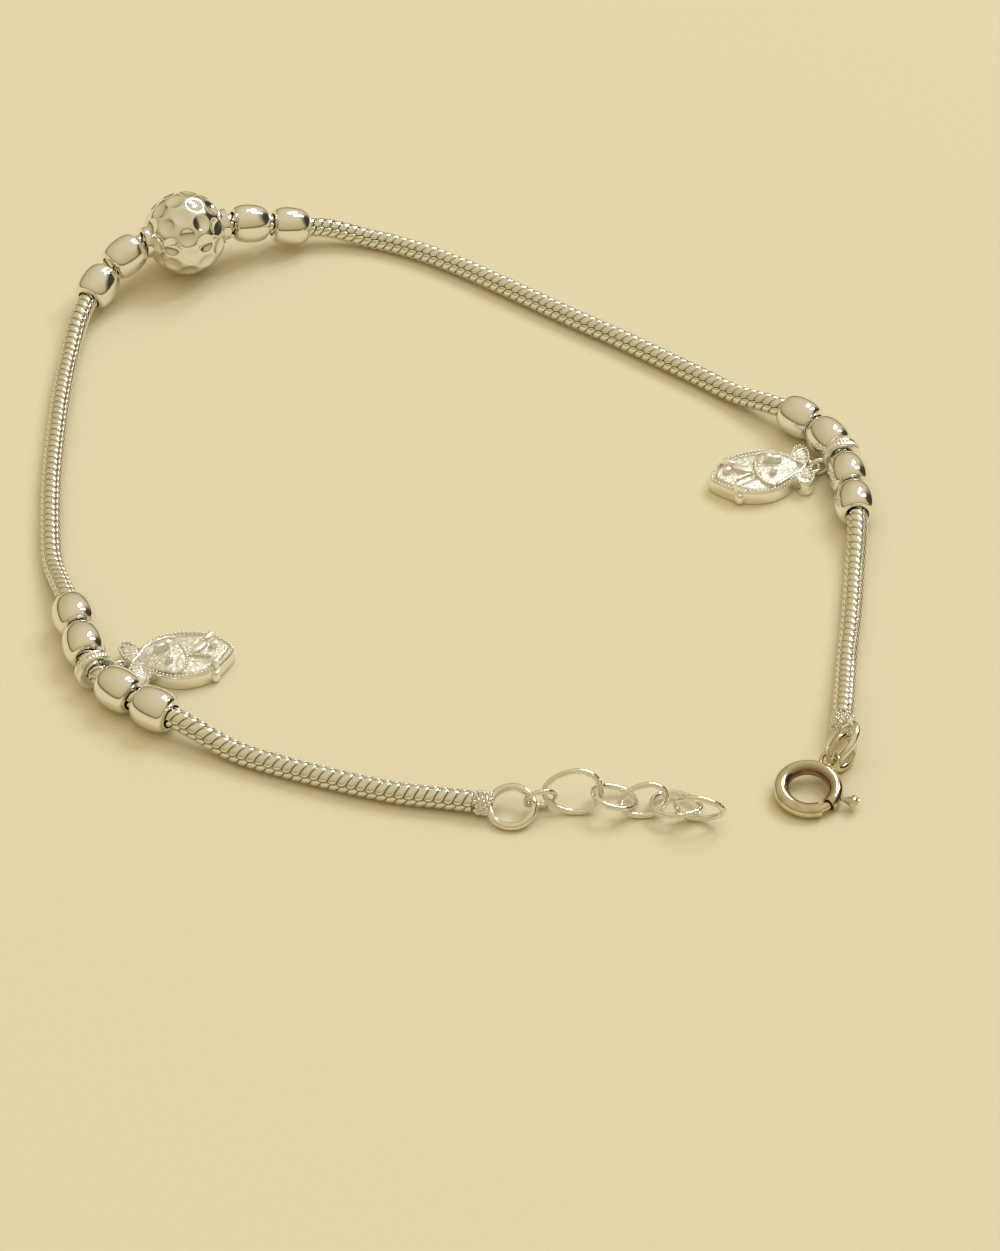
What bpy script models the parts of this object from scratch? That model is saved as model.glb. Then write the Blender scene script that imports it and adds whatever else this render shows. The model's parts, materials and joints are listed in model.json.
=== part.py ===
"""Charm bracelet: a round snake chain with beads, a cut centre ball and two fish charms.

The bracelet lies open on the plane z = 0, seen from the front along +Y. The chain's axis
follows a short list of chosen points. Everything threaded on it is placed by its station,
the length along that axis, so a bead that grows pushes its neighbours along the chain.
All sizes are in metres. The finished model is moved once, so that the origin is at the
centre of its bounding box's underside.
"""

import math

import bmesh
import bpy
import numpy as np
from mathutils import Euler, Matrix, Vector

MM = 0.001
WELD_DISTANCE = 0.004 * MM
SMOOTH_ANGLE = 40.0

# Chain; its tube has a point every few diameters
CHAIN_DIAMETER = 1.6 * MM
CHAIN_POINT_STEP = 2.0
ROUTE_STEPS = 24
DIRECTION_REACH = 0.3 * MM

# Route of the chain's axis in plan, from the extension end to the clasp end, in millimetres
CHAIN_ROUTE = [
    (3.4, -27.75), (1.0, -27.3), (-1.8, -26.8), (-4.6, -26.0), (-7.5, -25.0), (-10.4, -23.9),
    (-13.3, -22.6), (-16.2, -20.9), (-20.2, -18.3), (-22.9, -16.1), (-24.5, -13.8),
    (-25.4, -10.8), (-26.4, -7.5), (-27.6, -3.9), (-28.4, -0.9), (-28.9, 3.8), (-29.2, 8.7),
    (-29.3, 13.7), (-29.3, 18.8), (-29.1, 24.0), (-28.6, 28.5), (-27.5, 32.2), (-25.4, 35.1),
    (-22.6, 36.9), (-18.0, 38.7), (-13.2, 40.5), (-9.2, 41.3), (-4.9, 40.5), (-1.3, 38.9),
    (2.0, 36.8), (5.3, 34.3), (8.5, 31.8), (11.7, 29.3), (14.9, 26.9), (18.0, 24.4),
    (21.2, 21.8), (24.2, 19.2), (26.6, 17.3), (29.1, 15.4), (31.1, 12.6), (31.7, 10.6),
    (32.0, 8.5), (32.4, 5.2), (32.3, 1.4), (31.8, -3.3), (31.3, -7.9), (30.7, -12.4),
    (30.2, -17.0), (29.95, -19.4),
]

# Beads, ball and bails
BEAD_DIAMETER = 3.2 * MM
BEAD_LENGTH = 3.05 * MM
BEAD_COLLAR_DIAMETER = 2.2 * MM
BEAD_COLLAR_LENGTH = 0.18 * MM
BEAD_COLLAR_WALL = 0.1 * MM
BEAD_RIM = 0.05 * MM
BEAD_FULLNESS = 0.8
BEAD_SIDES = 12
BEAD_ARC_STEPS = 4
BORE_PLAY = 0.12 * MM
PIECE_GAP = 0.4 * MM
BALL_DIAMETER = 7.0 * MM
BALL_SIDES = 14
BALL_BANDS = 7
BALL_COLLAR_DIAMETER = 2.6 * MM
BALL_COLLAR_LENGTH = 0.35 * MM
BAIL_DIAMETER = 2.95 * MM
BAIL_WIDTH = 0.9 * MM
BAIL_GROOVE_DEPTH = 0.12 * MM
BAIL_RIDGE_PLACE = 0.55
LOOP_DIAMETER = 1.6 * MM
LOOP_WIRE = 0.38 * MM
LOOP_OVERLAP = 0.34 * MM
LOOP_HEIGHT = 0.82 * MM
LOOP_SIDES = 12
LOOP_WIRE_SIDES = 6

# Groups on the chain: the share of its length at the middle piece, the slack on each side
# of that piece, and the pieces in the order of the chain
GROUPS = [
    {"at": 0.1715, "slack": 0.55 * MM,
     "pieces": ["bead_left_4", "bead_left_3", "charm_bail_left", "bead_left_2", "bead_left_1"]},
    {"at": 0.4825, "slack": 0.0,
     "pieces": ["bead_far_4", "bead_far_3", "centre_ball", "bead_far_2", "bead_far_1"]},
    {"at": 0.834, "slack": 0.0,
     "pieces": ["bead_right_1", "bead_right_2", "charm_bail_right", "bead_right_3", "bead_right_4"]},
]

# How far from a bead, the ball or a soldered end the chain is still lifted off the surface
BEAD_REACH = 6.0 * MM
BALL_REACH = 9.0 * MM
END_REACH = 7.0 * MM
LIFT_SMOOTHING = 1.6 * MM

# Fish charms
FISH_LENGTH = 8.3 * MM
FISH_WIDTH = 5.2 * MM
FISH_THICKNESS = 1.2 * MM
FISH_EDGE = 0.18 * MM
FISH_RELIEF = 0.28 * MM
FISH_REST = 0.02 * MM
FISH_FORK = -0.42
FISH_LOOP_SINK = 0.15 * MM
PELLET_SIDES = 8
PELLET_BANDS = 6
FISH_HEADINGS = {"left": math.radians(13.0), "right": math.radians(193.0)}

# Outline of the fish from its nose round the back, as shares of its length and width
FISH_OUTLINE = [
    {"along": 0.50, "across": -0.02}, {"along": 0.43, "across": 0.20},
    {"along": 0.33, "across": 0.36}, {"along": 0.20, "across": 0.45},
    {"along": 0.06, "across": 0.49}, {"along": -0.09, "across": 0.48},
    {"along": -0.22, "across": 0.39}, {"along": -0.32, "across": 0.28},
    {"along": -0.39, "across": 0.44}, {"along": -0.46, "across": 0.46},
    {"along": -0.50, "across": 0.33}, {"along": -0.48, "across": 0.13},
    {"along": -0.42, "across": -0.02}, {"along": -0.46, "across": -0.18},
    {"along": -0.44, "across": -0.36}, {"along": -0.37, "across": -0.46},
    {"along": -0.30, "across": -0.42}, {"along": -0.27, "across": -0.27},
    {"along": -0.18, "across": -0.39}, {"along": -0.04, "across": -0.49},
    {"along": 0.11, "across": -0.50}, {"along": 0.26, "across": -0.43},
    {"along": 0.40, "across": -0.25},
]

# Raised pellets and bars: centre as shares, length and breadth as shares of the width,
# turn in degrees from the fish's length
FISH_PELLETS = [
    {"along": 0.33, "across": 0.12, "long": 0.13, "broad": 0.13, "turn": 0.0},
    {"along": 0.205, "across": 0.175, "long": 0.46, "broad": 0.12, "turn": 46.0},
    {"along": 0.29, "across": -0.31, "long": 0.25, "broad": 0.12, "turn": 80.0},
    {"along": -0.13, "across": 0.26, "long": 0.27, "broad": 0.13, "turn": 28.0},
    {"along": -0.10, "across": -0.03, "long": 0.11, "broad": 0.11, "turn": 0.0},
]

# Gill arc: a raised wire over the body, as shares of length and width
FISH_GILL = [
    {"along": 0.025, "across": 0.24}, {"along": 0.065, "across": 0.06},
    {"along": 0.06, "across": -0.12}, {"along": 0.02, "across": -0.28},
    {"along": -0.05, "across": -0.40},
]
GILL_WIRE = 0.36 * MM

# Rings and links
END_RING_DIAMETER = 3.65 * MM
END_RING_WIRE = 0.53 * MM
END_RING_SIDES = 16
SOLDER_LENGTH = 0.95 * MM
SOLDER_DIAMETER = 1.75 * MM
SOLDER_OVERLAP = 0.42 * MM
FRONT_RING_TILT = 20.0
CLASP_RING_END_TILT = 50.0
CLASP_END_LIFT = 0.68 * MM
LINK_LENGTH = 4.0 * MM
LINK_WIDTH = 2.9 * MM
LINK_WIRE = 0.4 * MM
CONNECTOR_LENGTH = 2.2 * MM
CONNECTOR_WIDTH = 1.8 * MM
CONNECTOR_WIRE = 0.35 * MM
LINK_POINTS = 16
CLASP_LINK_DIAMETER = 2.94 * MM
CLASP_LINK_WIRE = 0.5 * MM
CLASP_LINK_SIDES = 14

# Extension links from the chain outward: length and width as shares of a link's, how pointed
# the far end is, the step from the piece before as shares of a link's length, the height of
# its lowest point above the surface in wire diameters, the turn in plan, the rise of the far
# end and the roll about the length in degrees
LINKS = [
    {"name": "connector_link", "long": 1.0, "wide": 1.0, "point": 0.0,
     "step": (0.127, 0.199), "lift": 0.31, "yaw": 15.0, "rise": 0.0, "roll": 106.0},
    {"name": "extension_link_1", "long": 1.0, "wide": 1.0, "point": -0.20,
     "step": (0.562, 0.087), "lift": 0.11, "yaw": 2.0, "rise": 0.0, "roll": 60.0},
    {"name": "extension_link_2", "long": 0.8, "wide": 1.035, "point": 0.0,
     "step": (0.738, -0.012), "lift": 0.74, "yaw": 18.0, "rise": -18.0, "roll": -8.0},
    {"name": "extension_link_3", "long": 0.825, "wide": 0.76, "point": -0.10,
     "step": (0.512, -0.138), "lift": 0.08, "yaw": 9.0, "rise": 8.0, "roll": 64.0},
    {"name": "extension_link_4", "long": 0.875, "wide": 1.0, "point": 0.20,
     "step": (0.575, 0.025), "lift": 0.70, "yaw": -10.0, "rise": 0.0, "roll": -10.0},
    {"name": "extension_link_5", "long": 0.825, "wide": 0.79, "point": 0.20,
     "step": (0.4, -0.287), "lift": 0.17, "yaw": -9.0, "rise": 1.5, "roll": 100.0},
]

# Jump ring of the clasp: step from the end ring's far side as shares of its own diameter,
# and its pose as for the links
CLASP_LINK = {"step": (0.032, 0.167), "lift": 0.04, "yaw": 48.0, "rise": 6.7, "roll": 75.5}

# Spring ring clasp
CLASP_DIAMETER = 5.0 * MM
CLASP_TUBE = 1.1 * MM
CLASP_WALL = 0.15 * MM
CLASP_TILT = 9.0
CLASP_TURN_STEP = 12.0
GAP_START = -46.0
GAP_END = -70.0
BOLT_PLAY = 0.1 * MM
BOLT_INSERTION = 7.0
BOLT_TAIL = 12.0
BOLT_TRAVEL = 30.0
BOLT_TURN_STEP = 6.0
BORE_OVERRUN = 3.0
TRIGGER_ANGLE = -21.0
TRIGGER_STEM = 0.34 * MM
TRIGGER_REACH = 1.2 * MM
TRIGGER_KNOB_LENGTH = 1.15 * MM
TRIGGER_KNOB_BREADTH = 0.95 * MM
TRIGGER_KNOB_HEIGHT = 0.70 * MM
KNOB_SIDES = 10
KNOB_BANDS = 6
SLOT_PLAY = 0.1 * MM
EYELET_ANGLE = 56.0
EYELET_DIAMETER = 1.6 * MM
EYELET_WIRE = 0.34 * MM
EYELET_RISE = 12.0
EYELET_SINK = 0.24 * MM
CLASP_MEAN = (CLASP_DIAMETER - CLASP_TUBE) / 2

# Eyelet's centre from the jump ring's centre, in plan, as shares of the ring's diameter
EYELET_STEP = (-0.304, -0.3)

# Metals: colour and roughness
BRIGHT = ((0.86, 0.84, 0.80), 0.12)
WORN = ((0.72, 0.69, 0.62), 0.28)
FROSTED = ((0.90, 0.89, 0.86), 0.42)
BROWNED = ((0.66, 0.60, 0.50), 0.20)

collection = bpy.data.collections.new("charm_bracelet")
cutters = bpy.data.collections.new("charm_bracelet_cutters")


def start_scene():
    """Empty the scene and add the two collections."""
    for item in list(bpy.data.objects):
        bpy.data.objects.remove(item, do_unlink=True)
    bpy.context.scene.collection.children.link(collection)
    bpy.context.scene.collection.children.link(cutters)


def silver(name, colour, roughness):
    """A metal of its own for one object."""
    material = bpy.data.materials.new(name)
    material.use_nodes = True
    shader = material.node_tree.nodes["Principled BSDF"]
    shader.inputs["Base Color"].default_value = (*colour, 1.0)
    shader.inputs["Roughness"].default_value = roughness
    shader.inputs["Metallic"].default_value = 1.0
    return material


def add_object(name, data, look=BRIGHT):
    """Link new data as an object; a look of None makes it a cutter."""
    item = bpy.data.objects.new(name, data)
    if look is None:
        cutters.objects.link(item)
        item.hide_render = True
        item.display_type = "WIRE"
    else:
        collection.objects.link(item)
        data.materials.append(silver(name, *look))
    return item


def mesh_from_bmesh(name, shape):
    """Write a bmesh to a new mesh and free it."""
    data = bpy.data.meshes.new(name)
    shape.to_mesh(data)
    shape.free()
    return data


def shade(item):
    """Smooth shading that keeps the sharper edges."""
    item.data.shade_smooth()
    item.data.set_sharp_from_angle(angle=math.radians(SMOOTH_ANGLE))


def boolean(item, other, operation):
    """Join another object to this one or cut it away, then remove the other."""
    modifier = item.modifiers.new(operation.lower(), "BOOLEAN")
    modifier.solver = "EXACT"
    modifier.operation = operation
    modifier.object = other
    bpy.context.view_layer.update()
    graph = bpy.context.evaluated_depsgraph_get()
    baked = bpy.data.meshes.new_from_object(item.evaluated_get(graph))
    item.modifiers.clear()
    old = item.data
    item.data = baked
    bpy.data.meshes.remove(old)
    bpy.data.objects.remove(other, do_unlink=True)
    return item


def curve_data(name, points, radius, cyclic=False, resolution=1):
    """A wire as a poly curve through the points, with filled caps."""
    data = bpy.data.curves.new(name, "CURVE")
    data.dimensions = "3D"
    data.bevel_depth = radius
    data.bevel_resolution = resolution
    data.use_fill_caps = not cyclic
    spline = data.splines.new("POLY")
    spline.points.add(len(points) - 1)
    for point, place in zip(spline.points, points):
        point.co = (*place, 1.0)
    spline.use_cyclic_u = cyclic
    return data


def wire(name, points, radius, look, cyclic=False, resolution=1, matrix=None):
    """A wire as a closed mesh, its caps welded."""
    curve = bpy.data.objects.new(name + "_curve", curve_data(name, points, radius, cyclic, resolution))
    collection.objects.link(curve)
    if matrix is not None:
        curve.matrix_world = matrix
    bpy.context.view_layer.update()
    graph = bpy.context.evaluated_depsgraph_get()
    data = bpy.data.meshes.new_from_object(curve.evaluated_get(graph))
    shape = bmesh.new()
    shape.from_mesh(data)
    bmesh.ops.remove_doubles(shape, verts=shape.verts, dist=WELD_DISTANCE)
    shape.to_mesh(data)
    shape.free()
    data.materials.clear()
    item = add_object(name, data, look)
    item.matrix_world = curve.matrix_world.copy()
    bpy.data.objects.remove(curve, do_unlink=True)
    return item


def torus(name, mean_radius, wire_radius, matrix, look, sides, wire_sides):
    """A round ring in the matrix's own plane."""
    bpy.ops.mesh.primitive_torus_add(
        major_radius=mean_radius, minor_radius=wire_radius,
        major_segments=sides, minor_segments=wire_sides,
    )
    item = bpy.context.object
    for owner in list(item.users_collection):
        owner.objects.unlink(item)
    collection.objects.link(item)
    item.name = name
    item.data.name = name
    item.data.materials.append(silver(name, *look))
    item.matrix_world = matrix
    return item


def turned(name, profile, sides, look):
    """A closed profile of (radius, height) turned about Z, with a bore along the axis."""
    shape = bmesh.new()
    verts = [shape.verts.new((radius, 0.0, height)) for radius, height in profile]
    for start, end in zip(verts, verts[1:] + verts[:1]):
        shape.edges.new((start, end))
    item = add_object(name, mesh_from_bmesh(name, shape), look)
    screw = item.modifiers.new("turn", "SCREW")
    screw.axis = "Z"
    screw.angle = math.tau
    screw.steps = sides
    screw.render_steps = sides
    screw.use_merge_vertices = True
    screw.merge_threshold = WELD_DISTANCE
    screw.use_smooth_shade = True
    return item


def catmull_rom(points, steps):
    """Points on a smooth curve through the given ones."""
    first = 2 * points[0] - points[1]
    last = 2 * points[-1] - points[-2]
    padded = np.vstack([first, points, last])
    share = np.linspace(0.0, 1.0, steps, endpoint=False)[:, None]
    pieces = []
    for before, start, end, after in zip(padded, padded[1:], padded[2:], padded[3:]):
        leave = (end - before) / 2
        arrive = (after - start) / 2
        square = share ** 2
        cube = share ** 3
        pieces.append(
            (2 * cube - 3 * square + 1) * start + (cube - 2 * square + share) * leave
            + (3 * square - 2 * cube) * end + (cube - square) * arrive
        )
    return np.vstack(pieces + [points[-1:]])


def arc_lengths(line):
    """Length along a line up to each of its points."""
    steps = np.linalg.norm(np.diff(line, axis=0), axis=1)
    return np.concatenate([[0.0], np.cumsum(steps)])


def bell(distance, reach):
    """One at zero distance, falling smoothly to nothing at the reach."""
    return np.cos(np.clip(distance / reach, 0.0, 1.0) * math.pi / 2) ** 2


def piece_size(name):
    """Length along the chain and outer radius of a threaded piece."""
    if name.startswith("bead"):
        return BEAD_LENGTH, BEAD_DIAMETER / 2
    if name.startswith("charm_bail"):
        return BAIL_WIDTH, BAIL_DIAMETER / 2
    flank = math.sqrt(BALL_DIAMETER ** 2 - BALL_COLLAR_DIAMETER ** 2)
    return flank + 2 * BALL_COLLAR_LENGTH, BALL_DIAMETER / 2


def group_stations(length):
    """Station of each threaded piece, worked outward from the middle of its group."""
    stations = {}
    for group in GROUPS:
        pieces = group["pieces"]
        middle = len(pieces) // 2
        stations[pieces[middle]] = group["at"] * length
        for step in (1, -1):
            place = group["at"] * length
            for index in range(1, middle + 1):
                inner = piece_size(pieces[middle + step * (index - 1)])[0]
                outer = piece_size(pieces[middle + step * index])[0]
                slack = group["slack"] if index == 1 else 0.0
                place += step * ((inner + outer) / 2 + PIECE_GAP + slack)
                stations[pieces[middle + step * index]] = place
    return stations


def chain_line():
    """The chain's axis in space, its stations in plan and the threaded pieces' stations."""
    plan = catmull_rom(np.array(CHAIN_ROUTE) * MM, ROUTE_STEPS)
    along = arc_lengths(plan)
    stations = group_stations(along[-1])
    floor_height = CHAIN_DIAMETER / 2
    height = np.full(len(along), floor_height)
    for name, place in stations.items():
        long, radius = piece_size(name)
        if name.startswith("charm_bail"):
            radius = BEAD_DIAMETER / 2
        reach = BALL_REACH if name == "centre_ball" else BEAD_REACH
        level = long / 2
        distance = np.maximum(np.abs(along - place) - level, 0.0)
        height = np.maximum(height, floor_height + (radius - floor_height) * bell(distance, reach))
    cup_lift = SOLDER_DIAMETER / 2 - floor_height
    height = np.maximum(height, floor_height + cup_lift * bell(along, END_REACH))
    height = np.maximum(height, floor_height + CLASP_END_LIFT * bell(along[-1] - along, END_REACH))
    window = max(3, int(LIFT_SMOOTHING / along[-1] * len(along)) // 2 * 2 + 1)
    padded = np.pad(height, window // 2, mode="edge")
    height = np.maximum(np.convolve(padded, np.ones(window) / window, mode="valid"), floor_height)
    return np.column_stack([plan, height]), along, stations


LINE, ALONG, STATIONS = chain_line()


def on_chain(station):
    """Place and direction of the chain's axis at a station."""
    behind, place, ahead = (
        Vector([np.interp(station + step, ALONG, LINE[:, axis]) for axis in range(3)])
        for step in (-DIRECTION_REACH, 0.0, DIRECTION_REACH)
    )
    return place, (ahead - behind).normalized()


def thread(item, name, radius):
    """Put a turned piece on the chain with its bore along the chain."""
    half = piece_size(name)[0] / 2
    before, after = (on_chain(STATIONS[name] + side * half)[0] for side in (-1, 1))
    place = (before + after) / 2
    direction = (after - before).normalized()
    place.z = max(place.z, radius)
    turn = direction.to_track_quat("Z", "Y").to_matrix().to_4x4()
    item.matrix_world = Matrix.Translation(place) @ turn


def tube_stations():
    """Stations of the tube's points: straight through each bore, evenly spaced between."""
    stretches = sorted(
        (place - piece_size(name)[0] / 2, place + piece_size(name)[0] / 2)
        for name, place in STATIONS.items()
    )
    stations = [0.0]
    for start, end in stretches + [(ALONG[-1], ALONG[-1])]:
        count = max(1, round((start - stations[-1]) / (CHAIN_POINT_STEP * CHAIN_DIAMETER)))
        stations += list(np.linspace(stations[-1], start, count + 1)[1:])
        if end > start:
            stations.append(end)
    return stations


def make_chain():
    """The chain's tube, with a point every few diameters and at the ends of each bore."""
    points = [[np.interp(place, ALONG, LINE[:, axis]) for axis in range(3)] for place in tube_stations()]
    data = curve_data("snake_chain", points, CHAIN_DIAMETER / 2, resolution=2)
    return add_object("snake_chain", data, WORN)


def make_bead(name):
    """A barrel bead with a small collar round each end of its bore."""
    bore = CHAIN_DIAMETER / 2 + BORE_PLAY
    half = BEAD_LENGTH / 2
    shoulder = half - BEAD_COLLAR_LENGTH
    collar = max(BEAD_COLLAR_DIAMETER / 2, bore + BEAD_COLLAR_WALL)
    rise = BEAD_DIAMETER / 2 - collar
    profile = [(collar - BEAD_RIM, half)]
    for step in range(BEAD_ARC_STEPS + 1):
        turn = math.pi * (step / BEAD_ARC_STEPS - 0.5)
        profile.append((collar + rise * math.cos(turn) ** BEAD_FULLNESS, -shoulder * math.sin(turn)))
    profile += [(collar - BEAD_RIM, -half), (bore, -half), (bore, half)]
    item = turned(name, profile, BEAD_SIDES, BRIGHT)
    thread(item, name, BEAD_DIAMETER / 2)
    return item


def make_ball(name="centre_ball"):
    """A ball cut with flat facets, bored for the chain, with a collar round each hole."""
    shape = bmesh.new()
    bmesh.ops.create_uvsphere(shape, u_segments=BALL_SIDES, v_segments=BALL_BANDS, radius=BALL_DIAMETER / 2)
    item = add_object(name, mesh_from_bmesh(name, shape), BRIGHT)
    length = piece_size(name)[0]
    collar = bmesh.new()
    bmesh.ops.create_cone(
        collar, cap_ends=True, segments=BEAD_SIDES, depth=length,
        radius1=BALL_COLLAR_DIAMETER / 2, radius2=BALL_COLLAR_DIAMETER / 2,
    )
    boolean(item, add_object("ball_collar", mesh_from_bmesh("ball_collar", collar), None), "UNION")
    bore = bmesh.new()
    bore_radius = CHAIN_DIAMETER / 2 + BORE_PLAY
    bmesh.ops.create_cone(
        bore, cap_ends=True, segments=BEAD_SIDES, depth=length * 2,
        radius1=bore_radius, radius2=bore_radius,
    )
    boolean(item, add_object("ball_bore", mesh_from_bmesh("ball_bore", bore), None), "DIFFERENCE")
    thread(item, name, BALL_DIAMETER / 2)
    return item


def bail_frame(side):
    """Place of the bail, and the level direction from it to its charm."""
    place, direction = on_chain(STATIONS["charm_bail_" + side])
    inward = Vector((direction.y, -direction.x, 0.0)).normalized()
    return place, inward


def loop_centre(side):
    """Centre of the loop soldered to the bail, just outside its band."""
    place, inward = bail_frame(side)
    reach = BAIL_DIAMETER / 2 + LOOP_DIAMETER / 2 - LOOP_OVERLAP
    drop = place.z - LOOP_HEIGHT
    centre = place + inward * math.sqrt(reach ** 2 - drop ** 2)
    centre.z = LOOP_HEIGHT
    return centre, inward


def make_bail(side):
    """A grooved ring round the chain with an upright loop on the charm's side."""
    name = "charm_bail_" + side
    bore = CHAIN_DIAMETER / 2 + BORE_PLAY
    outer = BAIL_DIAMETER / 2
    half = BAIL_WIDTH / 2
    ridge = half * BAIL_RIDGE_PLACE
    groove = outer - BAIL_GROOVE_DEPTH
    profile = [
        (groove, half), (outer, ridge), (groove, 0.0), (outer, -ridge), (groove, -half),
        (bore, -half), (bore, half),
    ]
    item = turned(name, profile, BEAD_SIDES, BRIGHT)
    thread(item, name, BAIL_DIAMETER / 2)
    centre, inward = loop_centre(side)
    across = Vector((0.0, 0.0, 1.0)).cross(inward)
    frame = Matrix((inward, Vector((0.0, 0.0, 1.0)), -across)).transposed().to_4x4()
    loop = torus(
        "bail_loop", (LOOP_DIAMETER - LOOP_WIRE) / 2, LOOP_WIRE / 2,
        Matrix.Translation(centre) @ frame, BRIGHT, LOOP_SIDES, LOOP_WIRE_SIDES,
    )
    return boolean(item, loop, "UNION")


def fish_place(shares, mirror):
    """Plan place in the fish's own frame of a row of shares."""
    return shares["along"] * FISH_LENGTH, shares["across"] * FISH_WIDTH * mirror


def fish_body(name, mirror):
    """The flat body: its outline filled and extruded, its edges eased."""
    data = bpy.data.curves.new(name, "CURVE")
    data.dimensions = "2D"
    data.fill_mode = "BOTH"
    data.extrude = FISH_THICKNESS / 2 - FISH_EDGE
    data.bevel_depth = FISH_EDGE
    data.bevel_resolution = 0
    data.offset = -FISH_EDGE
    data.resolution_u = 2
    spline = data.splines.new("BEZIER")
    spline.bezier_points.add(len(FISH_OUTLINE) - 1)
    for point, row in zip(spline.bezier_points, FISH_OUTLINE):
        point.co = (*fish_place(row, mirror), 0.0)
        point.handle_left_type = "AUTO"
        point.handle_right_type = "AUTO"
    spline.use_cyclic_u = True
    curve = bpy.data.objects.new(name + "_outline", data)
    collection.objects.link(curve)
    bpy.context.view_layer.update()
    graph = bpy.context.evaluated_depsgraph_get()
    mesh = bpy.data.meshes.new_from_object(curve.evaluated_get(graph))
    shape = bmesh.new()
    shape.from_mesh(mesh)
    bmesh.ops.remove_doubles(shape, verts=shape.verts, dist=WELD_DISTANCE)
    bmesh.ops.recalc_face_normals(shape, faces=shape.faces)
    shape.to_mesh(mesh)
    shape.free()
    bpy.data.objects.remove(curve, do_unlink=True)
    return add_object(name, mesh, FROSTED)


def fish_pellet(row, mirror):
    """A rounded pellet or bar half sunk in the fish's upper face."""
    shape = bmesh.new()
    bmesh.ops.create_uvsphere(shape, u_segments=PELLET_SIDES, v_segments=PELLET_BANDS, radius=0.5)
    long = row["long"] * FISH_WIDTH
    broad = row["broad"] * FISH_WIDTH
    bmesh.ops.scale(shape, vec=(long, broad, FISH_RELIEF * 2), verts=shape.verts)
    item = add_object("fish_pellet", mesh_from_bmesh("fish_pellet", shape), FROSTED)
    x, y = fish_place(row, mirror)
    turn = Matrix.Rotation(math.radians(row["turn"] * mirror), 4, "Z")
    item.matrix_world = Matrix.Translation((x, y, FISH_THICKNESS / 2)) @ turn
    return item


def make_fish(side, mirror):
    """A cast fish lying flat, its tail loop through the bail's loop."""
    name = "fish_charm_" + side
    item = fish_body(name, mirror)
    for row in FISH_PELLETS:
        boolean(item, fish_pellet(row, mirror), "UNION")
    gill = [(*fish_place(row, mirror), FISH_THICKNESS / 2) for row in FISH_GILL]
    boolean(item, wire("fish_gill", gill, GILL_WIRE / 2, FROSTED), "UNION")
    mean = (LOOP_DIAMETER - LOOP_WIRE) / 2
    loop_x = FISH_FORK * FISH_LENGTH - mean + FISH_LOOP_SINK
    rest = FISH_THICKNESS / 2 + FISH_REST
    frame = Matrix.Translation((loop_x, 0.0, LOOP_HEIGHT - rest))
    loop = torus("fish_loop", mean, LOOP_WIRE / 2, frame, FROSTED, LOOP_SIDES, LOOP_WIRE_SIDES)
    boolean(item, loop, "UNION")
    centre, inward = loop_centre(side)
    heading = Vector((math.cos(FISH_HEADINGS[side]), math.sin(FISH_HEADINGS[side]), 0.0))
    tail_loop = centre + inward * mean
    origin = tail_loop - heading * loop_x
    origin.z = rest
    item.matrix_world = Matrix.Translation(origin) @ Matrix.Rotation(FISH_HEADINGS[side], 4, "Z")
    return item


def end_ring_place(station, outward):
    """Start of the solder cup past the chain's end, the ring's centre and the way outward."""
    place, direction = on_chain(station)
    flat = Vector((direction.x, direction.y, 0.0)).normalized() * outward
    start = place + flat * PIECE_GAP
    return start, start + flat * (SOLDER_LENGTH - SOLDER_OVERLAP + END_RING_DIAMETER / 2), flat


def end_ring_far_side(station, outward):
    """Middle of the end ring's wire on its far side, where the next link hangs."""
    centre, flat = end_ring_place(station, outward)[1:]
    return centre + flat * (END_RING_DIAMETER - END_RING_WIRE) / 2


def make_soldered_ring(name, station, outward, tilt):
    """A round ring with a cup of solder that meets the chain's end."""
    start, centre, flat = end_ring_place(station, outward)
    side = Vector((0.0, 0.0, 1.0)).cross(flat)
    basis = Matrix((flat, side, Vector((0.0, 0.0, 1.0)))).transposed().to_4x4()
    frame = Matrix.Translation(centre) @ basis @ Matrix.Rotation(math.radians(tilt), 4, "X")
    mean = (END_RING_DIAMETER - END_RING_WIRE) / 2
    item = torus(name, mean, END_RING_WIRE / 2, frame, WORN, END_RING_SIDES, LOOP_WIRE_SIDES)
    cup = [tuple(start), tuple(start + flat * SOLDER_LENGTH)]
    return boolean(item, wire("solder", cup, SOLDER_DIAMETER / 2, WORN, resolution=2), "UNION")


def laid_frame(row, plan, points, radius, lift):
    """Frame of a link in its pose, its wire's lowest point at the lift above the surface."""
    pose = Euler((math.radians(row["roll"]), -math.radians(row["rise"]), math.radians(row["yaw"])))
    turn = pose.to_matrix()
    low = min((turn @ Vector(point)).z for point in points)
    return Matrix.Translation((plan.x, plan.y, lift + radius - low)) @ turn.to_4x4()


def make_links():
    """The extension: bent wire links, each an egg shape hung in the one before."""
    plan = end_ring_far_side(0.0, -1)
    for row in LINKS:
        connector = row["name"] == "connector_link"
        radius = (CONNECTOR_WIRE if connector else LINK_WIRE) / 2
        long = row["long"] * (CONNECTOR_LENGTH if connector else LINK_LENGTH) / 2
        wide = row["wide"] * (CONNECTOR_WIDTH if connector else LINK_WIDTH) / 2
        points = []
        for step in range(LINK_POINTS):
            turn = math.tau * step / LINK_POINTS
            narrow = 1.0 - row["point"] * math.cos(turn)
            points.append((long * math.cos(turn), wide * math.sin(turn) * narrow, 0.0))
        plan = plan + Vector((*row["step"], 0.0)) * LINK_LENGTH
        frame = laid_frame(row, plan, points, radius, row["lift"] * LINK_WIRE)
        wire(row["name"], points, radius, WORN, cyclic=True, matrix=frame)


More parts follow.
